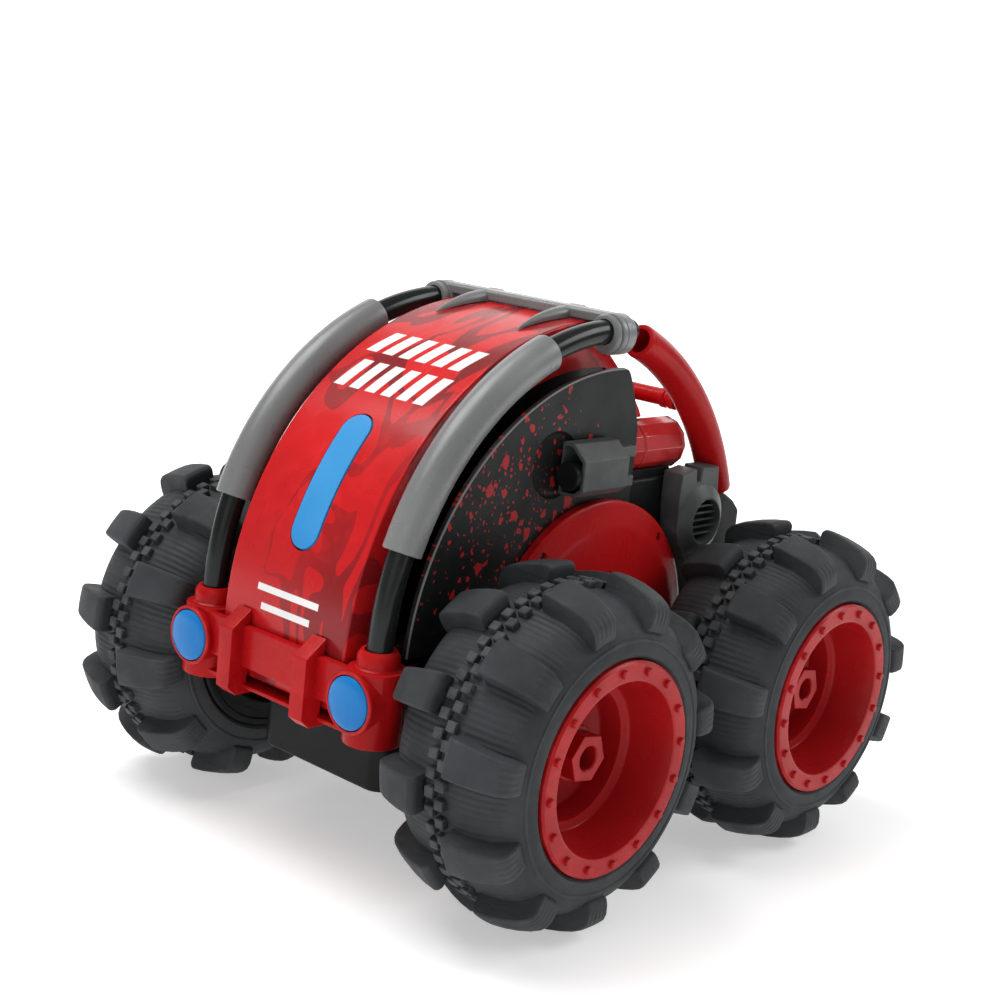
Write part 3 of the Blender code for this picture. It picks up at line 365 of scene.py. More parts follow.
# ---------------------------------------------------------------- shape tools


def arc(centre, radius, start, end, steps):
    """Points (y, z) on an arc. Angles are in degrees, from the front horizon up and over to the rear."""
    points = []
    for step in range(steps + 1):
        angle = math.radians(start + (end - start) * step / steps)
        points.append((centre[0] - radius * math.cos(angle), centre[1] + radius * math.sin(angle)))
    return points


def rounded(low, high, radius, steps=8):
    """A rectangle between two corners of a plane, with its corners rounded."""
    points = []
    corners = ((low[0], low[1], 0), (low[0], high[1], 90), (high[0], high[1], 180), (high[0], low[1], 270))
    for across, up, turn in corners:
        centre = (across + math.copysign(radius, low[0] + high[0] - 2 * across),
                  up + math.copysign(radius, low[1] + high[1] - 2 * up))
        points += arc(centre, radius, turn - 90, turn, steps)
    return points


def shaded(mesh, sharp=38.0):
    mesh.shade_smooth()
    mesh.set_sharp_from_angle(angle=math.radians(sharp))


def solid(name, shape, edge=0.0, segments=2):
    """An object from a shape in millimetres. Its sharp edges are rounded by the edge width."""
    bmesh.ops.recalc_face_normals(shape, faces=shape.faces)
    if edge:
        sharp = [e for e in shape.edges if e.calc_face_angle(0.0) > math.radians(28)]
        bmesh.ops.bevel(shape, geom=sharp, offset=edge, segments=segments, profile=0.5, affect="EDGES",
                        clamp_overlap=True)
    bmesh.ops.scale(shape, vec=(MM, MM, MM), verts=shape.verts)
    mesh = bpy.data.meshes.new(name)
    shape.to_mesh(mesh)
    shape.free()
    shaded(mesh)
    made = bpy.data.objects.new(name, mesh)
    bpy.context.scene.collection.objects.link(made)
    return made


def in_axis(axis, across, up, along):
    """The point that lies (across, up) in the plane square to an axis, at a distance along it."""
    return {"X": (along, across, up), "Y": (across, along, up), "Z": (across, up, along)}[axis]


def prism(name, outline, axis, span, edge=0.4, segments=2):
    """A bar along an axis with the given outline."""
    shape = bmesh.new()
    rings = [[shape.verts.new(in_axis(axis, *point, along)) for point in outline] for along in span]
    for ring in rings:
        shape.faces.new(ring)
    for number in range(len(outline)):
        before = number - 1
        shape.faces.new((rings[0][before], rings[0][number], rings[1][number], rings[1][before]))
    return solid(name, shape, edge, segments)


def block(name, low, high, edge=0.4):
    """A box between two corners."""
    lows = [min(pair) for pair in zip(low, high)]
    highs = [max(pair) for pair in zip(low, high)]
    outline = [(lows[0], lows[1]), (highs[0], lows[1]), (highs[0], highs[1]), (lows[0], highs[1])]
    return prism(name, outline, "Z", (lows[2], highs[2]), edge)


def skin(shape, rings, closed=False):
    """Covers rings of points in the shape. The skin closes on itself, or gets a cap at each end."""
    rows = [[shape.verts.new(point) for point in ring] for ring in rings]
    pairs = list(zip(rows, rows[1:]))
    if closed:
        pairs.append((rows[-1], rows[0]))
    for one, two in pairs:
        for number in range(len(one)):
            shape.faces.new((one[number - 1], one[number], two[number], two[number - 1]))
    if not closed:
        shape.faces.new(rows[0])
        shape.faces.new(rows[-1])


def loft(name, rings, closed=False, edge=0.0, segments=2):
    """An object with a skin over rings of points."""
    shape = bmesh.new()
    skin(shape, rings, closed)
    bmesh.ops.remove_doubles(shape, verts=shape.verts, dist=1e-4)
    return solid(name, shape, edge, segments)


def turned(name, profile, base, axis, side=1, steps=64, closed=True):
    """A profile of (radius, distance along the axis) turned about the axis through the base."""
    rings = []
    for radius, along in profile:
        ring = []
        for step in range(steps):
            angle = 2 * math.pi * step / steps
            around = in_axis(axis, radius * math.cos(angle), radius * math.sin(angle), along * side)
            ring.append(Vector(base) + Vector(around))
        rings.append(ring)
    return loft(name, rings, closed)


def rod(name, start, end, radius, edge=0.3, steps=32, tip=None):
    """A round bar along an axis between two points, with rounded rims. The tip may have its own radius."""
    along = Vector(end) - Vector(start)
    axis = max(AXES, key=lambda name: abs(along.dot(AXES[name])))
    reach = along.dot(AXES[axis])
    tip = radius if tip is None else tip
    bend = edge * (1 if reach > 0 else -1)
    profile = [(radius - edge, 0.0), (radius - edge * 0.3, bend * 0.3), (radius, bend),
               (tip, reach - bend), (tip - edge * 0.3, reach - bend * 0.3), (tip - edge, reach)]
    return turned(name, profile, start, axis, 1, steps, closed=False)


def bent(name, x, centre, arc_radius, angles, radius, bore=0.0, edge=0.8, sides=32):
    """A round bar bent to an arc in the plane at x, with rounded ends. A bore runs right through it."""
    degree = 180 / math.pi / arc_radius
    low, high = angles
    ease = ((0.0, 1.0), (0.3, 0.3), (1.0, 0.0))
    steps = max(8, round((high - low) / 2))
    stations = [(low + edge * a * degree, radius - edge * b) for a, b in ease]
    stations += [(low + (high - low) * step / steps, radius) for step in range(1, steps)]
    stations += [(high - edge * a * degree, radius - edge * b) for a, b in ease[::-1]]
    if bore:
        stations += [(high - (high - low) * step / steps, bore) for step in range(steps + 1)]
    rings = []
    for angle, ring_radius in stations:
        turn = math.radians(angle)
        outwards = Vector((0, -math.cos(turn), math.sin(turn)))
        middle = Vector((x, centre[0], centre[1])) + outwards * arc_radius
        ring = []
        for step in range(sides):
            around = 2 * math.pi * step / sides
            ring.append(middle + (AXES["X"] * math.cos(around) + outwards * math.sin(around)) * ring_radius)
        rings.append(ring)
    return loft(name, rings, closed=bool(bore))


def settled(target):
    """Applies the object's modifiers to its mesh."""
    bpy.context.view_layer.update()
    graph = bpy.context.evaluated_depsgraph_get()
    mesh = bpy.data.meshes.new_from_object(target.evaluated_get(graph))
    target.modifiers.clear()
    target.data = mesh
    shaded(mesh)
    return target


def shaped(target, tools, operation):
    for tool in tools:
        change = target.modifiers.new("shape", "BOOLEAN")
        change.operation = operation
        change.solver = "MANIFOLD"
        change.object = tool
    settled(target)
    for tool in tools:
        bpy.data.objects.remove(tool)
    return target


def joined(target, *tools):
    return shaped(target, tools, "UNION")


def cut(target, *tools):
    return shaped(target, tools, "DIFFERENCE")


def gathered(name, parts):
    """One object under a new name from parts that belong together."""
    made = joined(*parts)
    made.name = name
    return made


def mesh_of(made):
    """Keeps the mesh of an object and removes the object."""
    mesh = made.data
    bpy.data.objects.remove(made)
    return mesh


def span_on(side, span):
    """A span of x moved to the given side."""
    return tuple(sorted(side * x for x in span))


def mirrored(points, side):
    """Outline points of (x, z) moved to the given side."""
    return [(across * side, up) for across, up in points]


def piece(made, material, slot, *replaced, body="chassis"):
    """Finishes a piece: one material, even normals, its body and the CAD nodes it stands for. The slot
    argument is not used.
    """
    made.data.materials.clear()
    made.data.materials.append(material)
    even = made.modifiers.new("even_normals", "WEIGHTED_NORMAL")
    even.keep_sharp = True
    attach(made, body)
    if replaced:
        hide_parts(*replaced)
    return made


def screw(name, at, axis, side, radius=2.0):
    """A round screw head with a cross recess, its face towards the given side of the axis."""
    dome = [(0.0, -0.8), (radius, -0.8), (radius, 0.25), (radius * 0.8, 0.55), (0.0, 0.65)]
    head = turned(name, dome, at, axis, side, 24)
    arm = radius * 0.62
    slots = []
    for long, short in ((arm, 0.24), (0.24, arm)):
        outline = [(-long, -short), (long, -short), (long, short), (-long, short)]
        slot = prism("cross", outline, axis, (0.15 * side, 2.0 * side), 0.0)
        slot.location = Vector(at) * MM
        slots.append(slot)
    return cut(head, *slots)


# ---------------------------------------------------------------- wheels


def tyre_profile():
    """Half of the tyre's section as (radius, distance from its middle), from the tread to the bore."""
    return [(44.7, 0.0), (44.5, 6.0), (43.6, 12.0), (41.8, 16.6), (39.4, 19.6), (36.6, 21.3), (35.9, 21.45),
            (35.6, 21.85), (34.9, 21.85), (34.6, 21.6), (33.4, 21.9), (32.4, 22.1), (31.2, 22.0),
            (FLANGE_RADIUS + 0.4, 21.2), (FLANGE_RADIUS + GAP, 19.5), (26.9, 19.4)]


def lug(name, angle, row):
    """One lug: wide at the shoulder, narrower at the tread, wrapped round the tyre."""
    top = [(4.2, 48.6), (5.0, 49.75), (6.0, 50.0), (10.0, 49.4), (14.0, 48.4), (17.5, 47.2), (20.0, 45.9),
           (21.5, 44.4), (22.15, 42.6), (22.2, 40.0), (21.9, 37.9)]
    under = [(19.0, 36.5), (14.0, 39.5), (4.6, 42.5)]
    layers = 6
    rings = []
    for layer in range(layers + 1):
        share = -1 + 2 * layer / layers
        ring = []
        for out, radius in top + under:
            half_width = 6.6 - 1.4 * (out / TYRE_HALF_WIDTH) ** 2 - 1.1 * max(0.0, radius - 42.0) / 8.0
            lean = 1.6 * (1 - out / TYRE_HALF_WIDTH)
            turn = angle + (share * half_width + lean) / TYRE_RADIUS
            ring.append((out * row, -radius * math.sin(turn), -radius * math.cos(turn)))
        rings.append(ring)
    return loft(name, rings, edge=1.0, segments=3)


def tyre_mesh():
    """The tread pattern: two rows of lugs and, between them, a belt of small blocks."""
    half = tyre_profile()
    section = half + [(radius, -out) for radius, out in half[:0:-1]]
    carcass = turned("carcass", section, (0, 0, 0), "X", 1, 8 * LUGS_PER_ROW)
    pitch = 2 * math.pi / LUGS_PER_ROW
    lugs = []
    for row in (1, -1):
        for number in range(LUGS_PER_ROW):
            lugs.append(lug("lug", pitch * (number if row == 1 else number + 0.5), row))
    blocks = bmesh.new()
    per_ring = 5 * LUGS_PER_ROW
    for number in range(per_ring):
        for out in (-1.75, 1.75):
            turn = Matrix.Rotation(2 * math.pi * (number + 0.5 * (out > 0)) / per_ring, 4, "X")
            place = turn @ Matrix.Translation((out, 0.0, -45.0)) @ Matrix.Diagonal((3.0, 2.9, 3.0, 1.0))
            bmesh.ops.create_cube(blocks, size=1.0, matrix=place)
    belt = solid("belt", blocks, 0.25, 1)
    return mesh_of(joined(carcass, *lugs, belt))


def rim_mesh():
    """Outer rim half with its dish, a stepped band, the hexagonal hub and small pegs on the flange."""
    flange_in = 87.0 - TYRE_MID_X
    face = FLANGE_X - TYRE_MID_X
    section = [(24.3, face - 0.9), (24.5, face - 0.3), (25.2, face), (FLANGE_RADIUS - 0.6, face),
               (FLANGE_RADIUS, face - 0.6), (FLANGE_RADIUS, flange_in), (26.5, flange_in), (26.5, -19.2),
               (24.5, -19.2), (24.5, -3.0), (8.0, -4.0), (8.0, -9.2), (2.9, -9.2), (2.9, -6.0),
               (7.6, -1.4), (14.0, 0.2), (17.4, 1.4), (18.3, 2.6), (18.7, 8.2), (18.9, 8.7), (19.4, 8.9),
               (20.9, 9.3), (21.3, 9.6), (21.5, 10.2), (23.3, face - 4.0)]
    rim = turned("rim", section, (0, 0, 0), "X", 1, 96)
    hub_face = HUB_FACE_X - TYRE_MID_X
    hub = prism("hub", arc((0.0, 0.0), 7.25, 190, -110, 5), "X", (-6.5, hub_face), 0.35)
    neck = rod("neck", (-6.0, 0, 0), (hub_face - 4.5, 0, 0), 7.9, 0.5)
    rim = joined(rim, hub, neck)
    mouth = [(0.0, -12.0), (2.8, -12.0), (2.8, hub_face - 9.0), (3.4, hub_face - 8.8), (3.4, hub_face - 0.4),
             (4.2, hub_face + 0.5), (0.0, hub_face + 0.5)]
    cut(rim, turned("bore", mouth, (0, 0, 0), "X", 1, 40))
    pegs = []
    for number in range(16):
        angle = 2 * math.pi * (number + 0.25) / 16
        y, z = 27.3 * math.cos(angle), 27.3 * math.sin(angle)
        pegs.append(rod("peg", (face - 1.0, y, z), (face + 1.0, y, z), 1.35, 0.35, 16, tip=1.15))
    return mesh_of(joined(rim, *pegs))


def ring_mesh():
    """Inner rim half: a black ring with a spigot and shallow ribs."""
    out = RING_X - TYRE_MID_X
    inner = -TYRE_HALF_WIDTH
    section = [(22.0, out + 5.7), (24.0, out + 5.9), (24.2, out + 5.7), (24.2, out), (FLANGE_RADIUS, out),
               (FLANGE_RADIUS, inner + 0.7), (FLANGE_RADIUS - 0.7, inner), (28.0, inner), (27.6, inner + 0.5),
               (25.2, inner + 0.5), (24.8, inner), (22.6, inner), (22.0, inner + 0.6)]
    return mesh_of(turned("ring", section, (0, 0, 0), "X", 1, 96))


def wheels():
    """Four wheels from the same three meshes. The wheels of the right side are turned half round."""
    meshes = (("tyre", tyre_mesh(), RUBBER, "tyre_rubber", "tyre"),
              ("rim", rim_mesh(), RIM_RED, "red_plastic", "rim"),
              ("ring", ring_mesh(), BLACK, "black_plastic", "rim_back"))
    for side_name, side in SIDES:
        for end_name, end in ENDS:
            where = f"{end_name}_{side_name}"
            for name, mesh, material, slot, stem in meshes:
                made = bpy.data.objects.new(f"{where}_{name}", mesh)
                bpy.context.scene.collection.objects.link(made)
                made.location = Vector((TYRE_MID_X * side, WHEELBASE / 2 * end, AXLE_Z)) * MM
                made.rotation_euler = (0.0, 0.0, 0.0 if side > 0 else math.pi)
                piece(made, material, slot, f"{stem}_{where}", body=f"wheel_{where}")


# ---------------------------------------------------------------- hull and deck


def hull_outline(inset):
    """Plan of the hull, drawn in by the inset on every side."""
    low = (-HULL_HALF_WIDTH + inset, HULL_FRONT_Y + inset)
    high = (HULL_HALF_WIDTH - inset, HULL_REAR_Y - inset)
    return rounded(low, high, 6.0 - min(inset, 4.0))


def tub():
    """Hull tub with the battery bay, the groove that its cover slides in, and the switch slot."""
    floor_z = HULL_BOTTOM_Z + 4.0
    body = prism("hull_tub", hull_outline(0), "Z", (HULL_BOTTOM_Z, HULL_TOP_Z), 1.0, 3)
    groove = (HULL_BOTTOM_Z + 1.0, HULL_BOTTOM_Z + 2.4)
    cut(body,
        prism("hollow", hull_outline(2.0), "Z", (floor_z, HULL_TOP_Z + 1), 0.0),
        block("bay", (-20, -25, HULL_BOTTOM_Z - 1), (20, 25, floor_z + 1), 0.0),
        block("groove", (-23, -28, groove[0]), (23, 48, groove[1]), 0.0),
        block("mouth", (-21.5, -28, HULL_BOTTOM_Z - 1), (21.5, 48, groove[0] + 0.2), 0.0),
        block("switch_slot", (-2.5, -53, HULL_BOTTOM_Z - 1), (2.5, -43, floor_z + 1), 0.0))
    for side, y in ((1, 21.0), (-1, -21.0)):
        cut(body, rod("shaft_hole", (side * 23.0, y, AXLE_Z), (side * 28.0, y, AXLE_Z), 2.0, 0.0))
    piece(body, BLACK, "black_plastic", "chassis_tub")
    screws = []
    for x in (-20.5, 20.5):
        for y in (-68.0, 60.0):
            screws.append(screw("screw", (x, y, HULL_BOTTOM_Z + 0.5), "Z", -1))
    piece(joined(*screws), STEEL, "steel")

    bottom, half_length = HULL_BOTTOM_Z, 27.7
    cover = block("battery_door", (-22.7, -half_length, bottom + 1.3),
                  (22.7, half_length, bottom + 2.1), 0.15)
    face = block("face", (-21.2, -half_length, bottom + 0.1), (21.2, half_length, bottom + 1.5), 0.3)
    cover = joined(cover, face)
    grips = [block("grip", (-9, y, bottom - 1), (9, y + 1.2, bottom + 0.7), 0.2) for y in (14.0, 16.5, 19.0)]
    piece(cut(cover, *grips), BLACK, "black_plastic", "battery_cover", body="battery_door")


def bay_outline(inset):
    """Side view of the engine bay that stands on the rear of the deck."""
    return [(BAY_FRONT_Y + inset, DECK_BOTTOM_Z + inset), (BAY_FRONT_Y + inset, BAY_TOP_Z - inset),
            (42.0, BAY_TOP_Z - inset), (53.0, 107.6 - inset), (61.0, 103.8 - inset),
            (70.0 - inset / 2, 99.0 - inset), (HULL_REAR_Y - inset, 95.5 - inset),
            (HULL_REAR_Y - inset, DECK_BOTTOM_Z + inset)]


def hoop_socket(side):
    """Cutter for the foot of a rear hoop, a little wider than the hoop all round."""
    start, end = HOOP_ANGLES
    return bent("socket", side * TUBE_X, HOOP_CENTRE, HOOP_ARC_RADIUS, (start, end + 0.5), HOOP_RADIUS + 0.4,
                edge=0.3)


def upper_body():
    """Hull lid, deck and engine bay, with louvres at the back and panels on the sides."""
    deck = rounded((-DECK_HALF_WIDTH, DECK_FRONT_Y), (DECK_HALF_WIDTH, HULL_REAR_Y), 4.0)
    body = prism("upper_body_shell", hull_outline(0), "Z", (LID_BOTTOM_Z, DECK_BOTTOM_Z + 1), 0.3)
    body = joined(body, prism("deck", deck, "Z", (DECK_BOTTOM_Z, DECK_TOP_Z), 0.6),
                  prism("bay", bay_outline(0), "X", (-DECK_HALF_WIDTH, DECK_HALF_WIDTH), 1.2, 3))
    inside = DECK_HALF_WIDTH - 2.5
    tools = [prism("lid_hollow", hull_outline(2.2), "Z", (LID_BOTTOM_Z - 1, DECK_TOP_Z - 2.2), 0.0),
             prism("bay_hollow", bay_outline(2.5), "X", (-inside, inside), 0.0),
             block("floor_opening", (-22, BAY_FRONT_Y + 4, DECK_BOTTOM_Z - 1),
                   (22, HULL_REAR_Y - 4, DECK_TOP_Z + 1), 0.0)]
    for number in range(5):
        z = 76.5 + 2.6 * number
        tools.append(block("louvre", (-20, HULL_REAR_Y - 1.2, z), (20, HULL_REAR_Y + 1, z + 1.3), 0.0))
    cut(body, *tools)
    for side in (1, -1):
        x = side * BARREL_X
        cradle = block("cradle", (x - 7, 14.0, BAY_TOP_Z - 2), (x + 7, 34.0, BAY_TOP_Z + 2.5), 0.5)
        body = joined(body, cradle)
        cut(body, rod("clearance", (x, 5, BARREL_Z), (x, 45, BARREL_Z), BARREL_RADIUS + GAP, 0.0),
            hoop_socket(side),
            block("panel", (side * (DECK_HALF_WIDTH - 0.5), 48.0, 75.0), (side * 40.0, 70.0, 83.0), 0.3))
    piece(body, BLACK, "black_plastic", "upper_body")


def gearbox(side_name, side):
    """Gearbox housing with a rim round its edge, screws, and a boss for each axle."""
    half = WHEELBASE / 2

    def stadium(radius):
        return arc((-half, AXLE_Z), radius, -90, 90, 24) + arc((half, AXLE_Z), radius, 90, 270, 24)

    housing = prism(f"gearbox_{side_name}", stadium(18.5), "X", span_on(side, (26.3, 36.0)), 0.8)
    cut(housing, prism("hollow", stadium(16.8), "X", span_on(side, (25.0, 33.9)), 0.0))
    for end in (-1, 1):
        y = half * end
        boss = rod("boss", (side * 34.2, y, AXLE_Z), (side * 43.5, y, AXLE_Z), 4.2, 0.4)
        collar = rod("collar", (side * 34.2, y, AXLE_Z), (side * 38.0, y, AXLE_Z), 7.5, 0.6)
        housing = joined(housing, boss, collar)
        cut(housing, rod("bore", (side * 33.0, y, AXLE_Z), (side * 45.0, y, AXLE_Z), 2.8, 0.0))
    piece(housing, BLACK, "black_plastic", f"gearbox_housing_{side_name}")
    screws = []
    for y in (-half, half):
        for z in (AXLE_Z - 14.0, AXLE_Z + 14.0):
            screws.append(screw("screw", (side * 36.2, y, z), "X", side, 1.6))
    piece(gathered(f"gearbox_screws_{side_name}", screws), STEEL, "steel")


# ---------------------------------------------------------------- bodywork


def capsule_block(name, half_length, half_width, edge=0.0):
    """A capsule-shaped block that stands out of the shell in the middle of the light strip."""
    straight = half_length - half_width
    outline = arc((-straight, 0.0), half_width, -90, 90, 16) + arc((straight, 0.0), half_width, 90, 270, 16)
    made = prism(name, outline, "Z", (-8.0, 8.0), edge)
    lean = math.radians(sum(STRIPE_ANGLES) / 2)
    radial = Vector((0.0, -math.cos(lean), math.sin(lean)))
    along = Vector((0.0, math.sin(lean), math.cos(lean)))
    turn = Matrix((along, radial.cross(along), radial)).transposed().to_4x4()
    y, z = arc(SHELL_CENTRE, SHELL_RADIUS, math.degrees(lean), math.degrees(lean), 1)[0]
    made.matrix_world = Matrix.Translation(Vector((0.0, y, z)) * MM) @ turn
    return made


def centre_shell():
    """Arched cover with the window of the light strip, and the lens in it."""
    front = math.degrees(math.asin((52.0 - SHELL_CENTRE[1]) / SHELL_RADIUS))
    rear_y = BAY_FRONT_Y - 0.5
    tail_z = BARREL_Z + BARREL_RADIUS + GAP
    outline = arc(SHELL_CENTRE, SHELL_RADIUS, front, 91.5, 110)
    outline += [(5.7, 148.2), (10.4, 144.2), (14.6, 140.2), (18.4, 136.4), (21.5, 133.0), (23.8, 130.2)]
    outline += [(25.3, tail_z), (rear_y, tail_z), (rear_y, DECK_TOP_Z + GAP)]
    outline += [(DECK_FRONT_Y - GAP, DECK_TOP_Z + GAP), (DECK_FRONT_Y - GAP, 52.0)]
    shell = prism("shell", outline, "X", (-SHELL_HALF_WIDTH, SHELL_HALF_WIDTH), 0.7, 3)
    wall = 2.2
    inner = arc(SHELL_CENTRE, SHELL_RADIUS - wall, front - 8, 90, 110)
    inner += [(3.6, 147.2), (12.4, 139.2), (19.6, 132.2), (21.2, tail_z + wall)]
    inner += [(rear_y - wall, tail_z + wall), (rear_y - wall, 40.0)]
    reach = SHELL_HALF_WIDTH - wall
    half_length = SHELL_RADIUS * math.sin(math.radians(STRIPE_ANGLES[1] - STRIPE_ANGLES[0]) / 2)
    cut(shell, prism("hollow", inner, "X", (-reach, reach), 0.0),
        capsule_block("window", half_length, STRIPE_WIDTH / 2))
    panel_bottom = 76.0
    low = math.degrees(math.asin((panel_bottom - SHELL_CENTRE[1]) / SKIRT_RADIUS))
    high = math.degrees(math.acos((SHELL_CENTRE[0] - SKIRT_REAR_Y) / SKIRT_RADIUS))
    panel = arc(SHELL_CENTRE, SKIRT_RADIUS, low, high, 80) + [(SKIRT_REAR_Y, panel_bottom)]
    for side in (1, -1):
        cut(shell, prism("panel", panel, "X", span_on(side, (SHELL_HALF_WIDTH - SKIRT_DEPTH, 27.0)), 0.0))
    piece(shell, PANEL, "red_plastic", "centre_shell")

    start, end = STRIPE_ANGLES[0] - 3, STRIPE_ANGLES[1] + 3
    band = arc(SHELL_CENTRE, SHELL_RADIUS + 0.3, start, end, 48)
    band += arc(SHELL_CENTRE, SHELL_RADIUS - 3.0, end, start, 48)
    strip = prism("light_strip_lens", band, "X", (-STRIPE_WIDTH, STRIPE_WIDTH), 0.0)
    shaped(strip, [capsule_block("trim", half_length - 0.5, STRIPE_WIDTH / 2 - 0.5)], "INTERSECT")
    piece(strip, LENS, "blue_lens", "stripe_lens")


def ink_bars():
    """White slanted bars printed across the shell above and below the light strip."""
    bars = bmesh.new()
    thickness = 0.06

    def bar(middle_x, width, low, high, slant):
        """A slanted bar between two angles of the arc, as a thin skin that stands on the shell."""
        steps = 6
        rings = []
        for step in range(steps + 1):
            share = step / steps
            angle = low + (high - low) * share
            shift = slant * (share - 0.5)
            ring = []
            for lift, ends in ((0.01, (-width / 2, width / 2)), (thickness, (width / 2, -width / 2))):
                y, z = arc(SHELL_CENTRE, SHELL_RADIUS + lift, angle, angle, 1)[0]
                ring += [(middle_x + shift + end, y, z) for end in ends]
            rings.append(ring)
        skin(bars, rings)

    for number in range(6):
        bar(-16.5 + 6.6 * number, 4.2, 57.0, 63.4, 3.0)
        bar(-16.5 + 6.4 * number, 4.0, 47.6, 54.6, 3.0)
    for row in range(2):
        bar(0.0, 25.0 - 5.0 * row, 7.8 - 3.2 * row, 9.0 - 3.2 * row, 0.0)
    piece(solid("printed_bars", bars), INK, "red_plastic")


def roll_cage(side_name, side):
    """Roll tube, its sleeve, and the rear hoop, which is open at its front end."""
    x = side * TUBE_X
    tube = bent(f"front_tube_{side_name}", x, TUBE_CENTRE, TUBE_ARC_RADIUS, (-4.0, 94.2), TUBE_RADIUS,
                edge=0.3)
    piece(tube, TUBE, "black_plastic", f"roll_tube_{side_name}")
    sleeve = bent(f"sleeve_{side_name}", x, TUBE_CENTRE, TUBE_ARC_RADIUS, SLEEVE_ANGLES, SLEEVE_RADIUS,
                  bore=TUBE_RADIUS + 0.15, edge=0.5, sides=48)
    piece(sleeve, GREY, "grey_plastic", f"tube_sleeve_{side_name}")
    hoop = bent(f"hoop_{side_name}", x, HOOP_CENTRE, HOOP_ARC_RADIUS, HOOP_ANGLES, HOOP_RADIUS, edge=0.7,
                sides=64)
    start = HOOP_ANGLES[0]
    cut(hoop, bent("mouth", x, HOOP_CENTRE, HOOP_ARC_RADIUS, (start - 3, start + 6), HOOP_RADIUS - 1.5,
                   edge=0.3))
    piece(hoop, RED, "red_plastic", f"rear_hoop_{side_name}")


def hoop_brace():
    """Straight rod between the rear hoops, with a ringed collar at each end."""
    angle = 136.0
    y, z = arc(HOOP_CENTRE, HOOP_ARC_RADIUS, angle, angle, 1)[0]
    reach = TUBE_X - HOOP_RADIUS - 0.6
    half = [(0.0, reach), (2.9, reach), (3.2, reach - 0.3), (3.2, reach - 2.0), (2.7, reach - 2.3),
            (2.7, reach - 3.6), (3.2, reach - 3.9), (3.2, reach - 5.3), (2.7, reach - 5.7)]
    profile = half + [(radius, -along) for radius, along in half[::-1]]
    piece(turned("brace", profile, (0.0, y, z), "X", 1, 48), RED, "red_plastic", "hoop_brace")


def horn(x, tip_angle, root_angle):
    """A fin shaped like a horn: it lies on the shell and swells from a point to the height of the bar."""
    rings = []
    steps = 20
    for step in range(steps + 1):
        share = step / steps
        half = 0.15 + 3.0 * share ** 0.8
        rise = 0.15 + 2.95 * math.sin(share * math.pi / 2) ** 0.75
        angle = tip_angle + (root_angle - tip_angle) * share
        ring = []
        for turn in range(17):
            around = math.pi * turn / 16
            lift = rise * math.sin(around) ** 0.8
            y, z = arc(SHELL_CENTRE, SHELL_RADIUS + GAP + lift, angle, angle, 1)[0]
            ring.append(Vector((x + half * math.cos(around), y, z)))
        rings.append(ring)
    return loft("horn", rings)


def crossbar():
    """Bar over the top of the shell, with a ringed clamp on each tube and two horn-shaped fins."""
    top_z = 162.0
    front_y, rear_y = -8.4, -2.3
    bar_bottom = SHELL_CENTRE[1] + SHELL_RADIUS + GAP
    section = [(front_y, bar_bottom), (front_y, top_z - 0.8), (front_y + 0.8, top_z), (rear_y - 0.7, top_z),
               (rear_y, top_z - 0.7), (rear_y, bar_bottom)]
    bar = prism("crossbar", section, "X", (-TUBE_X, TUBE_X), 0.25)
    z = TUBE_CENTRE[1] + TUBE_ARC_RADIUS - 0.9
    clamp = [(0.0, -11.0), (4.9, -11.0), (5.4, -10.8), (5.8, -10.1), (5.8, -9.6), (5.2, -9.2), (5.2, -8.8),
             (5.9, -8.6), (6.1, -8.2), (6.1, -7.0), (5.8, -6.8), (5.8, -6.6), (6.1, -6.4),
             (6.1, rear_y - 0.9), (5.8, rear_y - 0.3), (5.2, rear_y), (0.0, rear_y)]
    for side in (1, -1):
        x = side * TUBE_X
        ring = turned("clamp", clamp, (x, 0.0, z), "Y", 1, 64)
        bump = block("bump", (side * 14.0, rear_y - 1.5, bar_bottom),
                     (side * 19.0, rear_y + 1.6, top_z + 0.1), 0.5)
        bar = joined(bar, ring, bump, horn(side * 16.5, 73.4, 87.5))
        cut(bar, bent("bore", x, TUBE_CENTRE, TUBE_ARC_RADIUS, (78.0, 102.0), TUBE_RADIUS + 0.2))
    piece(bar, GREY, "grey_plastic", "top_crossbar")


def side_plate(side_name, side):
    """Splattered quarter-round plate with a round dish, on three standoffs."""
    bottom = DECK_BOTTOM_Z + GAP
    rear_y = BAY_FRONT_Y - 0.5
    start = math.degrees(math.asin((bottom - SHELL_CENTRE[1]) / PLATE_RADIUS))
    outline = arc(SHELL_CENTRE, PLATE_RADIUS, start, 91.0, 80)
    outline += [(1.8, 145.4), (2.9, 144.0), (4.4, 141.0), (6.5, 136.2), (rear_y, 127.0), (rear_y, bottom)]
    plate = prism(f"plate_{side_name}", outline, "X", span_on(side, PLATE_X), 0.45)
    standoffs = []
    for y, z in ((-62.0, 92.0), (-26.0, 130.0), (2.0, 112.0)):
        standoffs.append(rod("standoff", (side * (SHELL_HALF_WIDTH - SKIRT_DEPTH + GAP), y, z),
                             (side * (PLATE_X[0] + 1), y, z), 2.5, 0.2))
    plate = joined(plate, *standoffs)
    dish = [(0.0, 35.0), (8.6, 35.0), (9.6, 35.4), (10.4, 36.6), (0.0, 36.6)]
    cut(plate, turned("dish", dish, (0, *DISH_CENTRE), "X", side, 48))
    piece(plate, PLATE, "black_plastic", f"side_plate_{side_name}")


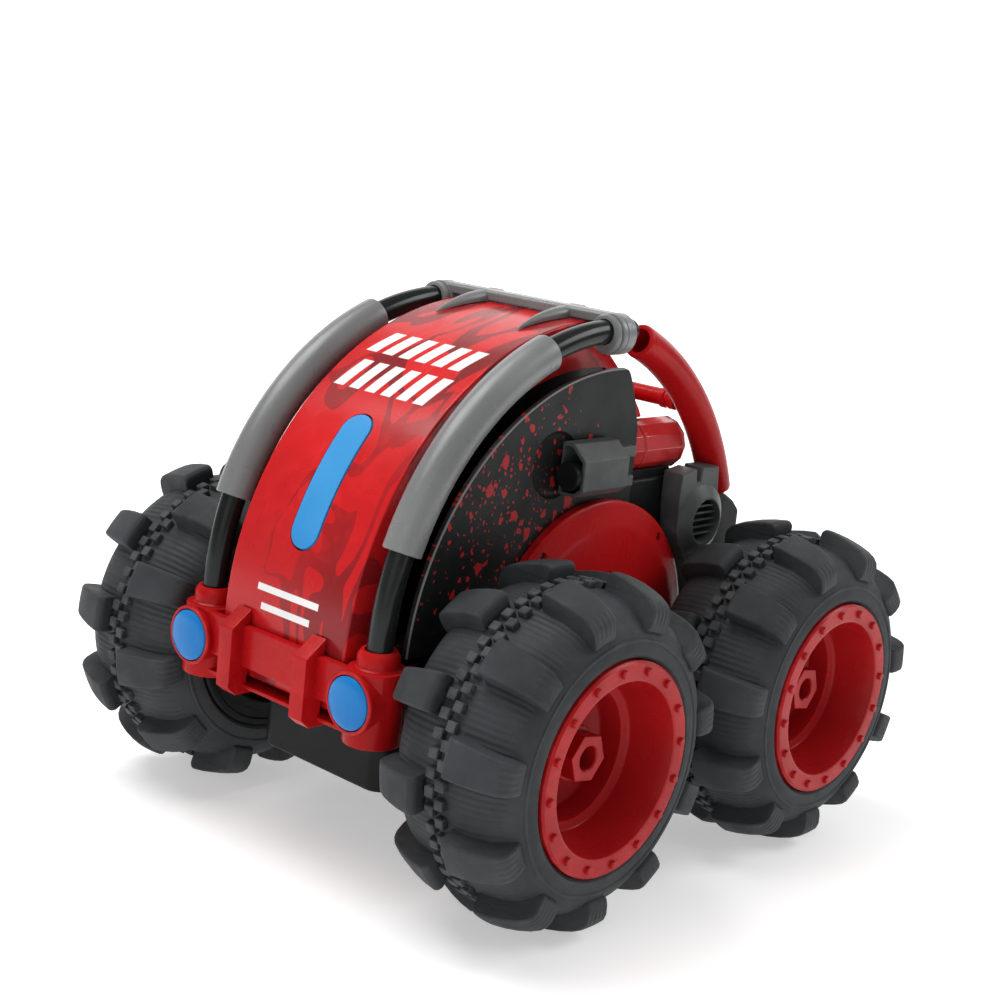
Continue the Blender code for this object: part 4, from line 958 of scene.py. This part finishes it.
def intake(side_name, side):
    """Chamfered grey block, open at the front where a blunt black snout looks out, with two prongs behind."""
    inner = PLATE_X[1] + GAP
    section = [(inner, 110.5), (inner, 126.0), (40.5, 126.0), (45.5, 121.5), (45.5, 112.8), (42.5, 110.5)]
    hollow = [(inner + 1.0, 111.6), (inner + 1.0, 124.9), (40.1, 124.9), (44.4, 121.0), (44.4, 113.4),
              (42.0, 111.6)]
    made = prism(f"intake_{side_name}", mirrored(section, side), "Y", (-26.0, -5.5), 0.4)
    cut(made, prism("mouth", mirrored(hollow, side), "Y", (-27.0, -19.0), 0.0))
    prongs = []
    for z in (112.0, 120.8):
        prongs.append(block("prong", (side * 38.0, -7.0, z), (side * 43.0, 0.5, z + 3.3), 0.4))
    piece(joined(made, *prongs), DARK_GREY, "dark_grey_plastic", f"intake_block_{side_name}")
    x = side * 40.7
    middle = 116.7
    snout = rod(f"snout_{side_name}", (x, -18.8, middle), (x, -28.2, middle), 4.2, 0.7, 48)
    piece(snout, BLACK, "dark_grey_plastic")


def engine_barrel(side_name, side):
    """Twelve-sided barrel on top of the engine bay, with two ring grooves and a chamfered end cap."""
    groove = BARREL_RADIUS - 0.75
    full, start = BARREL_RADIUS, BAY_FRONT_Y + GAP
    profile = [(0.0, start), (full - 0.6, start), (full, start + 0.7), (full, 18.2), (groove, 18.6),
               (groove, 19.1), (full, 19.5), (full, 37.5), (groove, 37.9), (groove, 38.4), (full, 38.8),
               (full, 39.2), (6.4, 40.6), (0.0, 40.8)]
    made = turned(f"barrel_{side_name}", profile, (side * BARREL_X, 0, BARREL_Z), "Y", 1, steps=12)
    rim = made.modifiers.new("soft_edges", "BEVEL")
    rim.width = 0.35 * MM
    rim.segments = 2
    rim.limit_method = "ANGLE"
    rim.angle_limit = math.radians(18)
    piece(settled(made), BARREL, "red_plastic", f"engine_barrel_{side_name}")


def vent_housing(side_name, side):
    """Grey housing at the foot of the rear hoop, with a round louvred vent in a coned ring."""
    face_x, lip_x = 41.5, 44.0
    outline = [(28.0, 112.8), (35.4, 114.0), (36.2, 109.6), (37.8, 109.6), (38.4, 114.2), (47.2, 114.0),
               (48.6, 103.0), (47.0, 90.0), (44.0, 84.5), (34.6, 84.5), (29.2, 93.0), (27.8, 105.0)]
    housing = prism(f"vent_{side_name}", outline, "X", span_on(side, (34.0, face_x)), 0.6)
    cone = [(0.0, 36.0), (11.5, 36.0), (11.7, 41.2), (11.3, face_x + 0.2), (7.9, lip_x - 0.2), (7.6, lip_x),
            (0.0, lip_x)]
    housing = joined(housing, turned("cone", cone, (0, *VENT_CENTRE), "X", side, 96))
    mouth = [(0.0, 38.5), (6.7, 38.5), (6.8, lip_x - 0.6), (7.3, lip_x + 0.2), (7.3, 46.0), (0.0, 46.0)]
    cut(housing, turned("mouth", mouth, (0, *VENT_CENTRE), "X", side, 96), hoop_socket(side))
    piece(housing, DARK_GREY, "dark_grey_plastic", f"vent_housing_{side_name}")
    slats = []
    for number in range(5):
        up = -4.4 + 2.2 * number
        reach = math.sqrt(6.6 ** 2 - up ** 2) + 0.1
        y, z = VENT_CENTRE
        outline = [(38.4, z + up - 0.9), (42.6, z + up + 0.1), (42.6, z + up + 0.7), (38.4, z + up - 0.2)]
        slats.append(prism("slat", mirrored(outline, side), "Y", (y - reach, y + reach), 0.0))
    piece(gathered(f"vent_louvres_{side_name}", slats), DARK_GREY, "dark_grey_plastic")


def side_cover(side_name, side):
    """Round cover over the gearbox: a shallow dome with a stepped rim, cut flat below, and its screws."""
    face, back, wall = 41.3, 36.3, 2.2
    rim = COVER_RADIUS
    profile = [(0.0, face - wall), (rim - 8, face - wall), (rim - wall, 37.6), (rim - wall, back),
               (rim, back), (rim, 38.6), (rim - 0.4, 39.1), (rim - 1.6, 39.5), (rim - 4.0, 40.0),
               (rim - 6.6, 40.9), (rim - 9.0, face), (24.0, face), (23.4, face - 0.5),
               (21.6, face - 0.5), (21.0, face), (0.0, face)]
    cover = turned(f"cover_{side_name}", profile, (0, *COVER_CENTRE), "X", side, 128)
    cut(cover, block("flat", (side * 30.0, -60.0, 0.0), (side * 50.0, 50.0, 29.0), 0.0))
    places = arc(COVER_CENTRE, COVER_RADIUS - 3.4, 49, 131, 1)
    cut(cover, *[rod("recess", (side * 37.0, y, z), (side * 43.0, y, z), 1.3, 0.0, 32) for y, z in places])
    piece(cover, RED, "red_plastic", f"side_cover_{side_name}")
    screws = [screw("screw", (side * 38.2, y, z), "X", side, 1.2) for y, z in places]
    piece(gathered(f"cover_screws_{side_name}", screws), STEEL, "steel")


# ---------------------------------------------------------------- bumpers and lamps


def front_bumper():
    """Bar with two chamfered cleats between the posts that hold the roll tubes and the lamps."""
    shelf_back = HULL_FRONT_Y - GAP
    bumper = block("bumper", (-POST_X, -97.5, 56.0), (POST_X, -94.8, 68.0), 0.5)
    bumper = joined(bumper, block("shelf", (-POST_X, -96.0, 49.3), (POST_X, shelf_back, 50.5), 0.3))
    cleat = [(-101.5, 50.0), (-101.5, 67.5), (-94.8, 72.5), (-94.8, 50.0), (-90.0, 50.0), (-90.0, 47.5),
             (-98.5, 47.5)]
    for side in (1, -1):
        x = side * POST_X
        lamp = (side * LAMP_X, 0.0, LAMP_Z)
        barrel = [(0.0, POST_Y), (8.2, POST_Y), (8.2, LAMP_FRONT_Y + 1.6), (8.6, LAMP_FRONT_Y + 1.2),
                  (8.6, LAMP_FRONT_Y + 0.3), (8.3, LAMP_FRONT_Y), (0.0, LAMP_FRONT_Y)]
        collar = [(0.0, 68.0), (6.4, 68.0), (6.4, 68.6), (5.9, 69.0), (5.9, 71.9), (4.9, 73.4), (0.0, 73.4)]
        bumper = joined(
            bumper, prism("cleat", cleat, "X", span_on(side, BRACKET_X), 0.3),
            rod("post", (x, POST_Y, 47.5), (x, POST_Y, 68.5), 8.1, 0.6, 64),
            turned("collar", collar, (x, POST_Y, 0.0), "Z", 1, 48),
            turned("barrel", barrel, lamp, "Y", 1, 64))
        seat = [(0.0, LAMP_FRONT_Y + 2.5), (7.6, LAMP_FRONT_Y + 2.5), (7.6, LAMP_FRONT_Y + 0.3),
                (7.9, LAMP_FRONT_Y - 0.6), (0.0, LAMP_FRONT_Y - 0.6)]
        cut(bumper, turned("seat", seat, lamp, "Y", 1, 64),
            bent("bore", x, TUBE_CENTRE, TUBE_ARC_RADIUS, (-6.0, 6.0), TUBE_RADIUS + 0.3))
    room = SHELL_HALF_WIDTH + GAP
    cut(bumper, block("shell_room", (-room, -94.6, 51.2), (room, -80.0, 76.0), 0.0))
    piece(bumper, RED, "red_plastic", "front_bumper")

    for side_name, side in SIDES:
        dome = [(0.0, LAMP_FRONT_Y + 2.2), (7.3, LAMP_FRONT_Y + 2.2), (7.3, LAMP_FRONT_Y - 0.1),
                (7.0, LAMP_FRONT_Y - 0.45), (5.6, LAMP_FRONT_Y - 0.85), (3.4, LAMP_FRONT_Y - 1.2),
                (0.0, LAMP_FRONT_Y - 1.4)]
        lamp = turned(f"lamp_{side_name}", dome, (side * LAMP_X, 0.0, LAMP_Z), "Y", 1, 64)
        piece(lamp, LENS, "blue_lens", f"lamp_lens_{side_name}")


def rear_bumper():
    """Bar behind the hull, on two brackets with sloping tops."""
    bumper = block("back_bumper", (-32.0, 79.0, 50.0), (32.0, 82.0, 62.0), 0.5)
    bracket = [(HULL_REAR_Y + GAP, 48.0), (HULL_REAR_Y + GAP, 65.0), (79.0, 65.0), (84.5, 61.0), (84.5, 50.0),
               (82.5, 48.0)]
    brackets = [prism("bracket", bracket, "X", span_on(side, BRACKET_X), 0.3) for side in (1, -1)]
    piece(joined(bumper, *brackets), RED, "red_plastic", "rear_bumper")


# ---------------------------------------------------------------- stage


def studio():
    """Pale floor that curves up behind, and a bright world."""
    back_y, lift = 1.6, 0.8
    outline = [(-back_y, 0.0)] + arc((back_y, lift), lift, 270, 180, 12) + [(back_y + lift, 2.4)]
    sweep = bmesh.new()
    yaw = Matrix.Rotation(CAMERA_AZIMUTH, 4, "Z")
    rows = [[sweep.verts.new(yaw @ Vector((x, y, z))) for y, z in outline] for x in (-2.6, 2.6)]
    for number in range(len(outline) - 1):
        sweep.faces.new((rows[0][number], rows[1][number], rows[1][number + 1], rows[0][number + 1]))
    mesh = bpy.data.meshes.new("studio_floor")
    sweep.to_mesh(mesh)
    sweep.free()
    mesh.shade_smooth()
    floor = bpy.data.objects.new("studio_floor", mesh)
    bpy.context.scene.collection.objects.link(floor)
    paper, tree, shader, place = blank("paper")
    tone = mixed(tree, noise(tree, place, 3.0), (0.84, 0.84, 0.84, 1), (0.87, 0.87, 0.87, 1))
    tree.links.new(tone, shader.inputs["Base Color"])
    shader.inputs["Roughness"].default_value = 0.9
    shader.inputs["Specular IOR Level"].default_value = 0.0
    away = node(tree, "VectorMath", {0: place}, operation="LENGTH").outputs["Value"]
    shader.inputs["Emission Color"].default_value = (1.0, 1.0, 1.0, 1.0)
    tree.links.new(faded(tree, away, 0.2, 1.5, (0.42, 0.88)), shader.inputs["Emission Strength"])
    mesh.materials.append(paper)

    world = bpy.data.worlds.new("studio")
    bpy.context.scene.world = world
    world.use_nodes = True
    sky = world.node_tree.nodes["Background"]
    sky.inputs["Color"].default_value = (1.0, 1.0, 1.0, 1.0)
    sky.inputs["Strength"].default_value = 0.3


def lamp(name, place, power, size):
    """A square soft lamp that faces the middle of the car."""
    data = bpy.data.lights.new(name, "AREA")
    data.energy = power
    data.size = size
    made = bpy.data.objects.new(name, data)
    made.location = place
    made.rotation_euler = (Vector((0.0, 0.0, 0.07)) - Vector(place)).to_track_quat("-Z", "Y").to_euler()
    bpy.context.scene.collection.objects.link(made)

def camera():
    """The camera looks from the front left, a little down, and leans to one side."""
    a, e = CAMERA_AZIMUTH, CAMERA_ELEVATION
    forward = Vector((-math.sin(a) * math.cos(e), math.cos(a) * math.cos(e), -math.sin(e)))
    level = Vector((math.cos(a), math.sin(a), 0.0))
    up = level.cross(forward)
    right = level * math.cos(CAMERA_ROLL) + up * math.sin(CAMERA_ROLL)
    top = up * math.cos(CAMERA_ROLL) - level * math.sin(CAMERA_ROLL)
    data = bpy.data.cameras.new("camera")
    data.lens = CAMERA_LENS
    made = bpy.data.objects.new("camera", data)
    turn = Matrix((right, top, -forward)).transposed().to_4x4()
    made.matrix_world = Matrix.Translation(CAMERA_PLACE) @ turn
    bpy.context.scene.collection.objects.link(made)
    bpy.context.scene.camera = made


# ---------------------------------------------------------------- assembly

camera()
wheels()
tub()
upper_body()
centre_shell()
ink_bars()
crossbar()
hoop_brace()
front_bumper()
rear_bumper()
for side_label, side_sign in SIDES:
    gearbox(side_label, side_sign)
    roll_cage(side_label, side_sign)
    side_plate(side_label, side_sign)
    intake(side_label, side_sign)
    engine_barrel(side_label, side_sign)
    vent_housing(side_label, side_sign)
    side_cover(side_label, side_sign)

# CAD nodes that keep their shape, inside the car.
kept = {"axle": STEEL, "idler": NYLON, "centre_gear": NYLON, "pinion": NYLON, "motor": STEEL,
        "hull_seal": SEAL, "circuit_board": BOARD, "battery_pack": WRAP, "power_switch": RED}
for stem, material in kept.items():
    for name, cad_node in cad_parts.items():
        if name.startswith(stem):
            cad_node.data.materials.clear()
            cad_node.data.materials.append(material)

studio()
lamp("key", (-0.35, -0.35, 1.15), 12.0, 0.8)
lamp("fill", (0.5, -1.2, 0.5), 1.6, 0.9)
lamp("rim", (0.7, 0.9, 0.9), 6.0, 0.6)
bpy.context.scene.view_settings.view_transform = "Standard"
